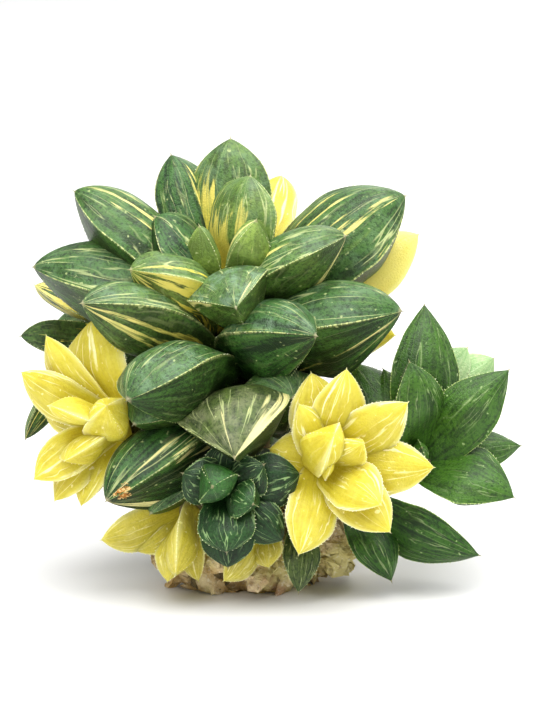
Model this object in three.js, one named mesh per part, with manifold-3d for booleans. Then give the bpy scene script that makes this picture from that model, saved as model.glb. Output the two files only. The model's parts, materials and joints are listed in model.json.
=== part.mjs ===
// A bare-rooted clump of a variegated haworthia, a small window-leaved succulent.
// One large green and cream rosette stands on top, and smaller rosettes, some green and some
// wholly yellow, crowd round its stem. Everything grows from one knobbly stem base.
// Millimetres, +Z up, the front faces -Y. The origin is the middle of the base's flat underside.

import * as THREE from "three";
import { mergeVertices } from "three/addons/utils/BufferGeometryUtils.js";
import Module from "manifold-3d";

const wasm = await Module();
wasm.setup();

// Driving sizes
const CLEARANCE = 0.32; // gap left between neighbouring pieces
const STEM_RADIUS = 6.5; // the main rosette's stem at its foot
const OFFSET_STEM_RADIUS = 4;
const LEAF_SEAT = 5.5; // how far out from the rosette's axis the lower leaves start
const BASE_RADII = [16.5, 14.5, 14.5]; // the knobbly stem base, half its size along x, y and z
const BASE_HEIGHT = 9.5; // its middle above its flat underside
const STUB_RADIUS = 4.6; // an old root stub at its front left
const STUB_CENTRE = [-9.5, -8.5, 3.4];
const DEAD_LEAVES = 12; // withered leaf bases round the stem base
const MERGE_TOLERANCE = 0.15; // detail smaller than this is merged away after a cut
const GOLDEN_ANGLE = Math.PI * (3 - Math.sqrt(5));

// The clump is laid out as it is seen from the front and slightly above.
const FRONT_TILT = THREE.MathUtils.degToRad(12);
const RIGHT = new THREE.Vector3(1, 0, 0);
const UP = new THREE.Vector3(0, Math.sin(FRONT_TILT), Math.cos(FRONT_TILT));
const NEAR = new THREE.Vector3(0, -Math.cos(FRONT_TILT), Math.sin(FRONT_TILT));
const SKYWARD = new THREE.Vector3(0, 0, 1);

// How a leaf's outline and thickness run from its foot (0) to its tip (1).
// broad: plump, with a wide pointed window face. lance: as plump, but tapering for longer.
// slim: the flatter leaf of the yellow offsets.
const SHAPES = {
  broad: { foot: 0.5, widest: 0.66, shoulder: 2.1, point: 0.92, bulge: 0.29, keel: 0.76, keelEdge: 1.4 },
  lance: { foot: 0.5, widest: 0.52, shoulder: 1.6, point: 1, bulge: 0.26, keel: 0.76, keelEdge: 1.4 },
  slim: { foot: 0.5, widest: 0.6, shoulder: 1.9, point: 0.95, bulge: 0.26, keel: 0.6, keelEdge: 1.5 },
};

// The main rosette's leaves. A row is one leaf: its tip right of, above and in front of the
// rosette's heart, its width and thickness, its bend (0 straight, 1 leaves along the rosette's
// axis), its roll in degrees, and how far down the stem it starts.
const MAIN_LEAVES = {
  heart_left: [-5.4, 13.2, 8, 9.5, 7, 0.3, 10, 3],
  heart_right: [6.8, 14.3, 11, 14, 9, 0.3, -10, 3],
  centre_low: [2.6, -4.7, 24.5, 19, 15, 1, 12, 6],
  centre_left: [-20.3, 3.7, 12, 18, 15, 0.9, 12, 8],
  centre_top: [5.6, 24.4, 2, 19.5, 12, 0.3, 0, 5],
  centre_right: [26.2, 11, 11, 18, 14, 0.7, -5, 8],
  upper_left: [-15.2, 15.4, 4, 20, 13, 0.6, 0, 6],
  low_right: [19.7, -10.6, 24, 21, 19, 1, -5, 18],
  mid_left: [-30.5, -3.6, 16, 18, 16, 0.65, 15, 17],
  low_left: [-20.4, -24.2, 24, 21.5, 17, 0.55, 16, 20],
  low_front: [2.3, -36.5, 24, 25, 17, 0.45, 6, 24],
  high_left: [-33, 21.2, -2, 21, 17, 0.6, 5, 12],
  far_left: [-42, 4.6, -2, 23, 22, 1, 0, 18],
  top: [1.2, 33, -6, 18.5, 13, 0.2, 0, 10],
  top_left: [-12, 29.6, -10, 15, 12, 0.3, 0, 11],
  high_right: [39.6, 20.3, -5, 24, 22, 0.4, 22, 16],
  far_right: [38.2, -5.2, 12, 22, 21, 0.85, -5, 22],
  shaded_left: [-19.5, -29.6, 12, 18, 12, 0.45, 0, 24],
  shaded_right: [15, -24, 13, 18, 14, 0.5, 0, 27],
  shaded_low: [2, -43, 6, 16, 11, 0.4, 0, 38],
  bottom_left: [-25.3, -46, 14, 21.5, 19, 0.6, 16, 38],
  bottom_back: [-16, -49, 8, 13, 9, 0.4, 0, 40],
  yellow_high: [12.5, 25.9, -28.9, 15, 8, 0.3, 0, 12],
  yellow_right: [42.9, 12.2, -15, 14, 8, 0.15, 50, 24],
  yellow_low: [37.6, -10.3, -13, 15, 8, 0.6, 45, 24],
  rear_left: [-24, 10, -29, 20, 14, 0.6, 0, 15],
  rear_middle: [-4, 10, -38, 21, 15, 0.6, 0, 16],
  rear_right: [18, 12, -34, 20, 14, 0.6, 0, 15],
  rear_far_left: [-30, -6, -20, 18, 13, 0.6, 0, 22],
  rear_far_right: [32, 4, -22, 20, 14, 0.6, 0, 18],
  rear_low_left: [-28, -16.5, -27, 18, 13, 0.6, 0, 24],
  rear_low_right: [14, -12, -34, 18, 13, 0.6, 0, 23],
  rear_bottom_left: [-26, -30, -22, 17, 12, 0.5, 0, 32],
  rear_bottom: [1, -34.5, -33, 18.5, 12.5, 0.5, 0, 36],
  rear_bottom_right: [26, -28, -18, 17, 12, 0.5, 0, 36],
};

// The smaller rosettes: where their hearts are, where their axes point (azimuth from the front
// towards the right, then elevation), where their stems leave the base, and their leaves in rows
// as above. A rosette that faces the back has its leaves in a spiral instead.
const OFFSETS = {
  right_yellow: {
    heart: [15, -16.6, 30.5],
    axis: [15, 8],
    root: [9, -4, 16],
    shape: "slim",
    colour: "yellow",
    leaves: [
      [1.7, -0.4, 13, 6, 4, 0.1, 0, -2],
      [2.5, 7, 16, 12, 11, 0.4, 55, 1],
      [8.5, 4.9, 15, 9, 6, 0.3, 0, 0],
      [12.2, -8.1, 17, 12, 6.5, 0.4, 0, 1],
      [-5, 13, 11, 9, 6, 0.4, 0, 1],
      [5.1, 20.5, 11, 12, 6.5, 0.4, 0, 2],
      [18.1, 13.4, 11, 12, 6.5, 0.4, 0, 2],
      [14.3, -14.1, 12, 12, 6.5, 0.4, 0, 2],
      [-5.1, -19, 10, 12, 6.5, 0.4, 0, 2],
      [-2.4, 19.7, 7, 13, 7, 0.4, 0, 3],
      [23.8, -0.5, 8, 12.5, 6.5, 0.4, 0, 3],
      [-11.3, 3.4, 6, 11, 6, 0.4, 0, 3],
    ],
  },
  small_green: {
    heart: [-5.3, -21.5, 26.3],
    axis: [-5, 5],
    root: [-1, -6, 15],
    shape: "broad",
    colour: "green",
    leaves: [
      [-3.2, 0.8, 14, 10, 8, 0.5, 0, 0],
      [5.5, -3, 11, 9, 6, 0.5, -15, 0],
      [-0.2, -13.4, 8, 12.5, 7, 0.5, 0, 1],
      [7.7, 5.3, 7, 10.5, 7, 0.5, 0, 1],
      [-9.6, 3.4, 6, 11, 7, 0.5, 0, 1],
      [0, 10, 4, 10, 7, 0.5, 0, 2],
      [15.4, 3.2, 3, 12, 7, 0.5, 0, 3],
      [11.7, -11.1, 2, 10, 7, 0.5, 0, 3],
      [0, -16.9, 2, 12, 7, 0.5, 0, 4],
    ],
  },
  left_yellow: {
    heart: [-30.8, -8.1, 37.1],
    axis: [-50, 5],
    root: [-7, -2, 17],
    shape: "slim",
    colour: "yellow",
    leaves: [
      [-0.6, 4.5, 14, 12, 11, 0.4, -70, 1],
      [-12.6, 4.5, 12, 13, 7, 0.4, 0, 0],
      [-9.7, -7.4, 10, 13.5, 7, 0.4, 0, 1],
      [-14.3, 19.5, 0, 12, 6.5, 0.4, 0, 2],
      [-4.2, 23, -2, 24, 9, 0.4, 0, 2],
      [-19.7, 11.6, 0, 12, 6.5, 0.4, 0, 2],
      [-16.8, -11.7, 2, 12, 6.5, 0.4, 0, 2],
      [-12.6, -16.5, -2, 11, 6, 0.4, 0, 3],
      [-6.7, -17.5, 0, 11, 6, 0.4, 0, 3],
      [-16, 4, -12, 10, 6, 0.4, 0, 3],
      [-12, -8, -13, 10, 6, 0.4, 0, 3],
    ],
  },
  right_green: {
    heart: [36.8, -4.8, 28.5],
    axis: [25, 35],
    root: [13, 0, 16],
    shape: "lance",
    colour: "green",
    leaves: [
      [0, 3, 9, 6, 5, 0.3, 0, 0],
      [-2.8, 21.6, 11, 15, 10, 0.4, 0, 1],
      [19.2, 19.8, 4, 14, 9, 0.4, 0, 2],
      [20.2, -8, 6, 16, 9, 0.4, 0, 2],
      [1.2, 34.2, -6, 16.5, 10, 0.3, 0, 3],
      [-8, 20, -4, 13, 8, 0.4, 0, 4],
      [-15, 21.5, -6, 15, 8, 0.4, 0, 4],
      [22.5, 3, -6, 11, 7, 0.4, 0, 4],
      [-14, 3, 0, 12, 8, 0.4, 0, 4],
      [18, 4, -18, 12, 7, 0.4, 0, 4],
    ],
  },
  lower_left_yellow: {
    heart: [-14.8, -12, 18.8],
    axis: [-25, -20],
    root: [-5, -5, 12],
    shape: "slim",
    colour: "yellow",
    leaves: [
      [-1.7, -12.8, 13, 14, 8, 0.4, 25, 0],
      [-18, -6, 6, 11, 4.5, 0.4, 0, 1],
      [-11, -8.5, 2, 9, 5, 0.4, 0, 2],
      [-3.7, -15, 6, 9, 6, 0.4, 0, 2],
      [3, -15, 4, 8, 5, 0.4, 0, 2],
    ],
  },
  lower_front_yellow: {
    heart: [2, -15.6, 16],
    axis: [0, -25],
    root: [2, -6, 13],
    shape: "slim",
    colour: "yellow",
    leaves: [
      [-8.2, -11.2, 6, 8.5, 6, 0.4, 0, 0],
      [1.5, -8.4, 4, 8, 5, 0.4, 0, 1],
    ],
  },
  lower_front_green: {
    heart: [11, -13.2, 18],
    axis: [5, -25],
    root: [7, -5, 13],
    shape: "lance",
    colour: "green",
    leaves: [
      [-1.1, -16.2, 6, 8.5, 6, 0.3, 0, 0],
      [3, -6, 3, 7, 5, 0.3, 0, 0],
    ],
  },
  lower_right_green: {
    heart: [21.7, -8.7, 19.7],
    axis: [30, -20],
    root: [9, -3, 13],
    shape: "lance",
    colour: "green",
    leaves: [
      [8.5, -16.7, 5, 11, 8, 0.4, 0, 0],
      [27.7, -11.2, 4, 13, 9, 0.4, 0, 1],
    ],
  },
  rear_left_green: {
    heart: [-31, 15.8, 52.3],
    axis: [-100, 15],
    root: [-5, 5, 18],
    shape: "broad",
    colour: "green",
    leaves: [
      [-12, 0, -4, 9, 6, 0.3, 0, 0],
      [-20.9, -0.2, 2, 11, 6, 0.4, 0, 1],
      [-20, -23.2, 0, 9, 6, 0.4, 0, 2],
      [-18, 11.2, -2, 10, 6, 0.4, 0, 2],
      [-14, 2, -16, 12, 7, 0.4, 0, 2],
      [-6, 12, -17, 12, 7, 0.4, 0, 3],
      [-16, -6, -8, 12, 7, 0.4, 0, 3],
    ],
  },
  right_pale: {
    heart: [33, 17, 32],
    axis: [120, 20],
    root: [13, 6, 16],
    shape: "broad",
    colour: "pale",
    leaves: [
      [15.3, 16.8, 0, 11, 6, 0.4, 0, 1],
      [21.4, 14.4, -2, 11, 6, 0.4, 0, 1],
      [20, 1, -12, 10, 6, 0.4, 0, 0],
      [8, -9, -14, 10, 6, 0.4, 0, 1],
      [8, 8, -18, 10, 6, 0.4, 0, 1],
    ],
  },
  rear_green: {
    heart: [-7, 20, 33],
    axis: [180, 20],
    root: [1, 8, 18],
    shape: "broad",
    colour: "green",
    spiral: { leaves: 7, length: 28, width: 15, seed: 3 },
  },
  rear_low_yellow: {
    heart: [15, 20, 19],
    axis: [165, -5],
    root: [7, 6, 13],
    shape: "slim",
    colour: "yellow",
    spiral: { leaves: 6, length: 20, width: 11, seed: 8 },
  },
};

// The leaf's half width, window bulge and keel depth at a share of its length.
function profileAt(share, leaf) {
  const shape = SHAPES[leaf.shape];
  const past = Math.max(0, (share - shape.widest) / (1 - shape.widest));
  const rise = Math.sin((Math.PI / 2) * Math.min(1, share / shape.widest));
  const outline = past > 0 ? Math.pow(1 - Math.pow(past, shape.shoulder), shape.point) : 1;
  const halfWidth = (leaf.width / 2) * (shape.foot + (1 - shape.foot) * rise) * outline;
  const swell = THREE.MathUtils.smoothstep(share, 0.2, 0.6);
  const bulge = leaf.thick * shape.bulge * swell * Math.pow(1 - Math.pow(past, 2.4), 0.8);
  const keel = leaf.thick * shape.keel * (0.8 + 0.2 * swell) * Math.pow(1 - Math.pow(past, 1.4), 0.9);
  return { halfWidth, bulge, keel };
}

function axisOf([azimuth, elevation]) {
  const a = THREE.MathUtils.degToRad(azimuth);
  const e = THREE.MathUtils.degToRad(elevation);
  return new THREE.Vector3(Math.sin(a) * Math.cos(e), -Math.cos(a) * Math.cos(e), Math.sin(e));
}

// A leaf from its row in a table.
function rowLeaf(row, rosette) {
  const [right, up, near, width, thick, bend, roll, drop] = row;
  const tip = rosette.heart.clone();
  tip.addScaledVector(RIGHT, right).addScaledVector(UP, up).addScaledVector(NEAR, near);
  const outward = tip.clone().sub(rosette.heart);
  outward.addScaledVector(rosette.axis, -outward.dot(rosette.axis)).normalize();
  const foot = rosette.heart.clone().addScaledVector(rosette.axis, -drop);
  foot.addScaledVector(outward, Math.min(LEAF_SEAT, 0.25 * Math.max(0, drop)));
  return { ...rosette, foot, tip, width, thick, bend, roll };
}

// Leaves in a spiral, short and upright at the heart, long and spreading outside.
function spiralLeaves(rosette, { leaves, length, width, seed }) {
  const side = SKYWARD.clone().cross(rosette.axis).normalize();
  return Array.from({ length: leaves }, (_, i) => {
    const age = (i + 1) / leaves;
    const spread = THREE.MathUtils.degToRad(28 + 52 * age);
    const outward = side.clone().applyAxisAngle(rosette.axis, seed + i * GOLDEN_ANGLE);
    const reach = length * (0.55 + 0.45 * age) * (0.96 + 0.08 * Math.abs(Math.sin(seed * (i + 2))));
    const foot = rosette.heart.clone().addScaledVector(rosette.axis, -3.5 * age);
    const tip = foot
      .clone()
      .addScaledVector(rosette.axis, reach * Math.cos(spread))
      .addScaledVector(outward, reach * Math.sin(spread));
    const broad = width * (0.72 + 0.28 * age);
    return { ...rosette, foot, tip, width: broad, thick: broad * 0.55, bend: 0.4, roll: 0 };
  });
}

// The section's places across the leaf: the window face from margin to margin, then the keeled back.
const SECTIONS = {
  fine: { top: [-1, -0.5, 0.5, 1], back: [0.5, 0, -0.5] },
  plain: { top: [-1, 0, 1], back: [0.5, 0, -0.5] },
};
const STATIONS = {
  fine: [0, 0.3, 0.52, 0.68, 0.82, 0.93],
  plain: [0, 0.4, 0.7, 0.9],
};

// The curve along a leaf's middle, from its foot out to its recurved tip.
function spineOf({ foot, tip, bend, axis }) {
  const span = tip.clone().sub(foot);
  const start = axis.clone().lerp(span.clone().normalize(), 1 - bend).normalize();
  const control = foot.clone().addScaledVector(start, span.length() * 0.55);
  return new THREE.QuadraticBezierCurve3(foot, control, tip);
}

// One leaf as a closed skin. grow swells it all round, to cut its neighbours clear of it.
function leafGeometry(leaf, grow, detail) {
  const shape = SHAPES[leaf.shape];
  const spine = spineOf(leaf);
  const section = SECTIONS[detail];
  const outward = leaf.tip.clone().sub(leaf.foot);
  outward.addScaledVector(leaf.axis, -outward.dot(leaf.axis)).normalize();
  const turn = THREE.MathUtils.degToRad(leaf.roll);
  const points = [];
  for (const share of STATIONS[detail]) {
    const centre = spine.getPoint(share);
    const along = spine.getTangent(share);
    const window = leaf.axis.clone().sub(outward);
    window.addScaledVector(along, -window.dot(along)).normalize().applyAxisAngle(along, turn);
    const across = new THREE.Vector3().crossVectors(along, window);
    const { halfWidth, bulge, keel } = profileAt(share, leaf);
    const place = (x, height) => {
      const point = centre.clone().addScaledVector(across, x * (halfWidth + grow));
      points.push(point.addScaledVector(window, height));
    };
    for (const x of section.top) place(x, (bulge + grow) * (1 - x * x));
    for (const x of section.back) place(x, -(keel + grow) * (1 - Math.pow(Math.abs(x), shape.keelEdge)));
  }
  const tip = spine.getPoint(1).addScaledVector(spine.getTangent(1), 2 * grow);
  const base = spine.getPoint(0).addScaledVector(spine.getTangent(0), -grow);
  return ringedGeometry(points, section.top.length + section.back.length, base, tip);
}

// A tapering stem along a curve.
function stemGeometry(curve, footRadius, topRadius, grow) {
  const sides = 8;
  const stations = 5;
  const points = [];
  for (let i = 0; i < stations; i++) {
    const share = i / (stations - 1);
    const centre = curve.getPoint(share);
    const along = curve.getTangent(share);
    const side = new THREE.Vector3(0, 1, 0).cross(along).normalize();
    const radius = THREE.MathUtils.lerp(footRadius, topRadius, share) + grow;
    for (let k = 0; k < sides; k++) {
      const spoke = side.clone().applyAxisAngle(along, (2 * Math.PI * k) / sides);
      points.push(centre.clone().addScaledVector(spoke, radius));
    }
  }
  const start = curve.getPoint(0).addScaledVector(curve.getTangent(0), -grow);
  const end = curve.getPoint(1).addScaledVector(curve.getTangent(1), topRadius * 0.5 + grow);
  return ringedGeometry(points, sides, start, end);
}

// Joins rings of points into a closed skin, with one point at each end.
function ringedGeometry(points, around, start, end) {
  const positions = points.flatMap((p) => p.toArray());
  const rings = points.length / around;
  positions.push(...start.toArray(), ...end.toArray());
  const faces = [];
  for (let ring = 0; ring < rings; ring++) {
    for (let i = 0; i < around; i++) {
      const a = ring * around + i;
      const b = ring * around + ((i + 1) % around);
      if (ring === 0) faces.push(points.length, b, a);
      if (ring === rings - 1) faces.push(a, b, points.length + 1);
      else faces.push(a, b, b + around, a, b + around, a + around);
    }
  }
  const geometry = new THREE.BufferGeometry();
  geometry.setAttribute("position", new THREE.Float32BufferAttribute(positions, 3));
  geometry.setIndex(faces);
  return geometry;
}

function solidOf(geometry) {
  const bare = geometry.clone();
  bare.deleteAttribute("normal");
  bare.deleteAttribute("uv");
  const merged = mergeVertices(bare, 1e-4);
  const mesh = new wasm.Mesh({
    numProp: 3,
    vertProperties: merged.attributes.position.array,
    triVerts: new Uint32Array(merged.index.array),
  });
  return new wasm.Manifold(mesh);
}

function geometryOf(solid) {
  const { numProp, vertProperties, triVerts } = solid.getMesh();
  const positions = [];
  for (let i = 0; i < vertProperties.length; i += numProp)
    positions.push(vertProperties[i], vertProperties[i + 1], vertProperties[i + 2]);
  const geometry = new THREE.BufferGeometry();
  geometry.setAttribute("position", new THREE.Float32BufferAttribute(positions, 3));
  geometry.setIndex([...triVerts]);
  const faceted = geometry.toNonIndexed();
  faceted.computeVertexNormals();
  return faceted;
}

// The largest body of a solid, without the scraps that a cut leaves.
function largestBody(solid) {
  return solid.decompose().reduce((most, body) => (body.volume() > most.volume() ? body : most));
}

const MATERIALS = {
  variegated: new THREE.MeshStandardMaterial({ color: 0x4f7a45, roughness: 0.45, metalness: 0 }),
  green: new THREE.MeshStandardMaterial({ color: 0x356b38, roughness: 0.45, metalness: 0 }),
  pale: new THREE.MeshStandardMaterial({ color: 0xa9c48c, roughness: 0.45, metalness: 0 }),
  yellow: new THREE.MeshStandardMaterial({ color: 0xe8d84a, roughness: 0.4, metalness: 0 }),
  bark: new THREE.MeshStandardMaterial({ color: 0x9a8460, roughness: 0.85, metalness: 0 }),
};

const clump = new THREE.Group();
clump.name = "haworthia_clump";
let taken = null; // what the pieces made so far fill, swollen by the clearance

function addPiece(name, shapeAt, material) {
  const solid = shapeAt(0);
  const clear = taken ? largestBody(solid.subtract(taken)) : solid;
  const grown = shapeAt(CLEARANCE);
  taken = taken ? taken.add(grown) : grown;
  const clean = largestBody(clear.simplify(MERGE_TOLERANCE));
  const mesh = new THREE.Mesh(geometryOf(clean), material);
  mesh.name = name;
  clump.add(mesh);
}

// One of the withered leaf bases that stand out round the stem base, pointing a little down.
function deadLeaf(index) {
  const around = index * GOLDEN_ANGLE;
  const outward = new THREE.Vector3(Math.cos(around), Math.sin(around), 0);
  const belly = Math.hypot(BASE_RADII[0] * outward.x, BASE_RADII[1] * outward.y);
  const level = 5.5 + 8 * Math.abs(Math.sin(index * 1.7));
  const reach = belly + 2.5 + 2.5 * Math.abs(Math.cos(index * 2.3));
  const foot = outward.clone().multiplyScalar(belly * 0.45).setZ(level);
  const tip = outward.clone().multiplyScalar(reach).setZ(level - 3.5);
  const width = 8 + 2.5 * Math.sin(index * 3.1);
  return { foot, tip, width, thick: 4.5, bend: 0.3, roll: 0, axis: SKYWARD, shape: "slim" };
}

// The knobbly stem base, its old root stub and its withered leaf bases, with a flat underside.
function baseSolid(grow) {
  const ball = new THREE.SphereGeometry(1, 16, 10);
  ball.scale(...BASE_RADII.map((radius) => radius + grow)).translate(0, 0, BASE_HEIGHT);
  const stub = new THREE.SphereGeometry(STUB_RADIUS + grow, 9, 7).translate(...STUB_CENTRE);
  const scales = Array.from({ length: DEAD_LEAVES }, (_, i) => {
    return solidOf(leafGeometry(deadLeaf(i), grow, "plain"));
  });
  return wasm.Manifold.union([solidOf(ball), solidOf(stub), ...scales]).trimByPlane([0, 0, 1], 0);
}

// A rosette's stem, which leaves the base at its root and comes up behind its heart.
function rosetteStem(rosette, footRadius, topRadius, grow) {
  const root = new THREE.Vector3(...rosette.root);
  const approach = root.distanceTo(rosette.heart) * 0.4;
  const below = rosette.heart.clone().addScaledVector(rosette.axis, -approach);
  const curve = new THREE.QuadraticBezierCurve3(root, below, rosette.heart);
  return solidOf(stemGeometry(curve, footRadius, topRadius, grow));
}

addPiece("stem_base", baseSolid, MATERIALS.bark);

const mainRosette = {
  heart: new THREE.Vector3(-6.1, -1.8, 66.5),
  axis: axisOf([-23, 73]),
  root: [0, 8, 14],
  shape: "broad",
};
const mainStem = (grow) => rosetteStem(mainRosette, STEM_RADIUS, STEM_RADIUS * 0.45, grow);
addPiece("main_stem", mainStem, MATERIALS.bark);
for (const [place, row] of Object.entries(MAIN_LEAVES)) {
  const leaf = rowLeaf(row, mainRosette);
  const detail = /^(rear|shaded|heart|yellow)|back$/.test(place) ? "plain" : "fine";
  const colour = place.startsWith("yellow") ? "yellow" : "variegated";
  const shapeAt = (grow) => solidOf(leafGeometry(leaf, grow, detail));
  addPiece(`main_leaf_${place}`, shapeAt, MATERIALS[colour]);
}

for (const [place, offset] of Object.entries(OFFSETS)) {
  const heart = new THREE.Vector3(...offset.heart);
  const rosette = { ...offset, heart, axis: axisOf(offset.axis) };
  const leaves = offset.spiral
    ? spiralLeaves(rosette, offset.spiral)
    : offset.leaves.map((row) => rowLeaf(row, rosette));
  const shapeAt = (grow) => {
    const stem = rosetteStem(rosette, OFFSET_STEM_RADIUS, OFFSET_STEM_RADIUS * 0.7, grow);
    const blades = leaves.map((leaf) => solidOf(leafGeometry(leaf, grow, "plain")));
    return wasm.Manifold.union([stem, ...blades]);
  };
  addPiece(`rosette_${place}`, shapeAt, MATERIALS[offset.colour]);
}

export default clump;
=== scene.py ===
# %% [markdown]
# # A bare-rooted clump of a variegated haworthia
# The real thing is a small succulent, out of its pot: one large rosette of plump green leaves
# streaked with cream, and smaller rosettes, green and lemon yellow, crowded round its stem.
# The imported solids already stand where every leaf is. This lesson gives each of them a finer
# skin, its markings, its toothed edges and its sheen, and never moves them.
# It starts with the solids, because everything below is laid out in their frame.

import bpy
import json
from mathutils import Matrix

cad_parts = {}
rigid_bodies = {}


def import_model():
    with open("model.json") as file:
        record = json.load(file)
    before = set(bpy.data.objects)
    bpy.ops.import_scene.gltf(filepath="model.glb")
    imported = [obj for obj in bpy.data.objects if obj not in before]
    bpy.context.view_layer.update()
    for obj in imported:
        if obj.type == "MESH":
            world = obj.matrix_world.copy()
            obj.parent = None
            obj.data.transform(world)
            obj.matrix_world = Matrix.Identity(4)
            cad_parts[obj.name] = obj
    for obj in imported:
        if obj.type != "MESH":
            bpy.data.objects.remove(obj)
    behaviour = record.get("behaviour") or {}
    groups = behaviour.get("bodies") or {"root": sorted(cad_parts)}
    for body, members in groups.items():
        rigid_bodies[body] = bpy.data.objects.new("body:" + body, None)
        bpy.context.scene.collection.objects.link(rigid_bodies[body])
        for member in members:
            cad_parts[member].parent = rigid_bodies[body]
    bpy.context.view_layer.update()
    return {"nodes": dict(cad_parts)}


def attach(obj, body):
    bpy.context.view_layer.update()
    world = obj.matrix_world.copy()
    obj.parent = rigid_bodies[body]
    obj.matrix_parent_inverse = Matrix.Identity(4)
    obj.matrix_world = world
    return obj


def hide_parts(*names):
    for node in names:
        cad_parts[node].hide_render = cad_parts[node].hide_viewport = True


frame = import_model()
print("packed nodes:", len(frame["nodes"]))

# %% Modules and the unit
import json
import math

import bpy
import numpy as np
from mathutils import Vector, noise

MM = 0.001  # the tables below are in millimetres, Blender's mesh is in metres

# %% [markdown]
# ## Camera
# The picture of the plant was taken from in front and a little above, with a long lens, so the
# leaves hardly shrink with distance. A camera could be placed by eye. Here it is placed by
# numbers, its distance, its tilt and how many millimetres a pixel covers, so that a leaf's
# place in the picture and its place in the tables follow from each other.

# %% Camera
PICTURE_HEIGHT = 711  # pixels
MM_PER_PIXEL = 0.22  # at the middle of the clump
CAMERA_DISTANCE = 800
CAMERA_TILT = math.radians(12)
CAMERA_AIM = (3, 0, 51)


def add_camera():
    lens = bpy.data.cameras.new("camera")
    lens.sensor_fit = "VERTICAL"
    lens.sensor_height = 24
    lens.lens = lens.sensor_height * CAMERA_DISTANCE / (PICTURE_HEIGHT * MM_PER_PIXEL)
    lens.clip_start = 0.01
    camera = bpy.data.objects.new("camera", lens)
    back = Vector((0, -math.cos(CAMERA_TILT), math.sin(CAMERA_TILT))) * CAMERA_DISTANCE
    camera.location = (Vector(CAMERA_AIM) + back) * MM
    camera.rotation_euler = (math.pi / 2 - CAMERA_TILT, 0, 0)
    bpy.context.collection.objects.link(camera)
    bpy.context.scene.camera = camera
    return camera


camera = add_camera()
print("camera at", [round(v, 3) for v in camera.location], "lens", round(camera.data.lens, 1))

# %% [markdown]
# ## Light
# The plant stands in plain white studio light: a large soft box overhead, whose reflection
# gives the leaves their grey-green sheen, weaker boxes at the front left, the right and the
# back, and a bright room. Small lamps would give hard spots on the waxy skin, so every lamp
# here is larger than the plant.

# %% Light
LAMPS = {  # place and width in metres, power in watts
    "overhead_box": ((0.16, -0.15, 1.3), 1.9, 44),
    "front_box": ((-0.5, -0.85, 0.9), 0.7, 8),
    "right_fill": ((1.0, -0.3, 0.5), 0.6, 1.5),
    "back_light": ((0.3, 1.1, 0.5), 0.8, 3),
}
LAMP_AIM = (0, 0, 0.05)
ROOM_BRIGHTNESS = 0.42


def add_lamp(name, place, size, power):
    data = bpy.data.lights.new(name, "AREA")
    data.shape = "DISK"
    data.size = size
    data.energy = power
    lamp = bpy.data.objects.new(name, data)
    lamp.location = place
    aim = Vector(LAMP_AIM) - Vector(place)
    lamp.rotation_euler = aim.to_track_quat("-Z", "Y").to_euler()
    bpy.context.collection.objects.link(lamp)
    return lamp


for name, lamp in LAMPS.items():
    add_lamp(name, *lamp)
bpy.context.scene.view_settings.view_transform = "Standard"
room = bpy.data.worlds.new("bright_room")
room.use_nodes = True
room.node_tree.nodes["Background"].inputs["Color"].default_value = (1, 1, 1, 1)
room.node_tree.nodes["Background"].inputs["Strength"].default_value = ROOM_BRIGHTNESS
bpy.context.scene.world = room

# %% [markdown]
# ## A small language for finishes
# A finish in Blender is a graph of nodes. Clicking it together is slow to read back, so here a
# socket is wrapped in a small class whose operators add the Math nodes: `1 - mask * 0.5` is a
# piece of graph. Numbers that don't vary are worked out in Python, and colours are mixed with
# Mix nodes, because a Math node would turn them grey.

# %% Sockets that add up
class Signal:
    """A number that varies over the surface: a node's output, with arithmetic."""

    def __init__(self, finish, socket):
        self.finish = finish
        self.socket = socket

    def math(self, operation, *others):
        values = dict(enumerate((self,) + others))
        return self.finish.node("ShaderNodeMath", {"operation": operation}, values)

    def __add__(self, other):
        return self.math("ADD", other)

    __radd__ = __add__

    def __sub__(self, other):
        return self.math("SUBTRACT", other)

    def __rsub__(self, other):
        return self.finish.node("ShaderNodeMath", {"operation": "SUBTRACT"}, {0: other, 1: self})

    def __mul__(self, other):
        return self.math("MULTIPLY", other)

    __rmul__ = __mul__

    def __abs__(self):
        return self.math("ABSOLUTE")

    def fraction(self):
        return self.math("FRACT")

    def step(self, low, high):
        """0 below low, 1 above high, smooth between. With low above high it runs the other way."""
        if low > high:
            return 1 - self.step(high, low)
        values = {"Value": self, "From Min": low, "From Max": high}
        kind = {"interpolation_type": "SMOOTHSTEP"}
        return self.finish.node("ShaderNodeMapRange", kind, values)


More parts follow.
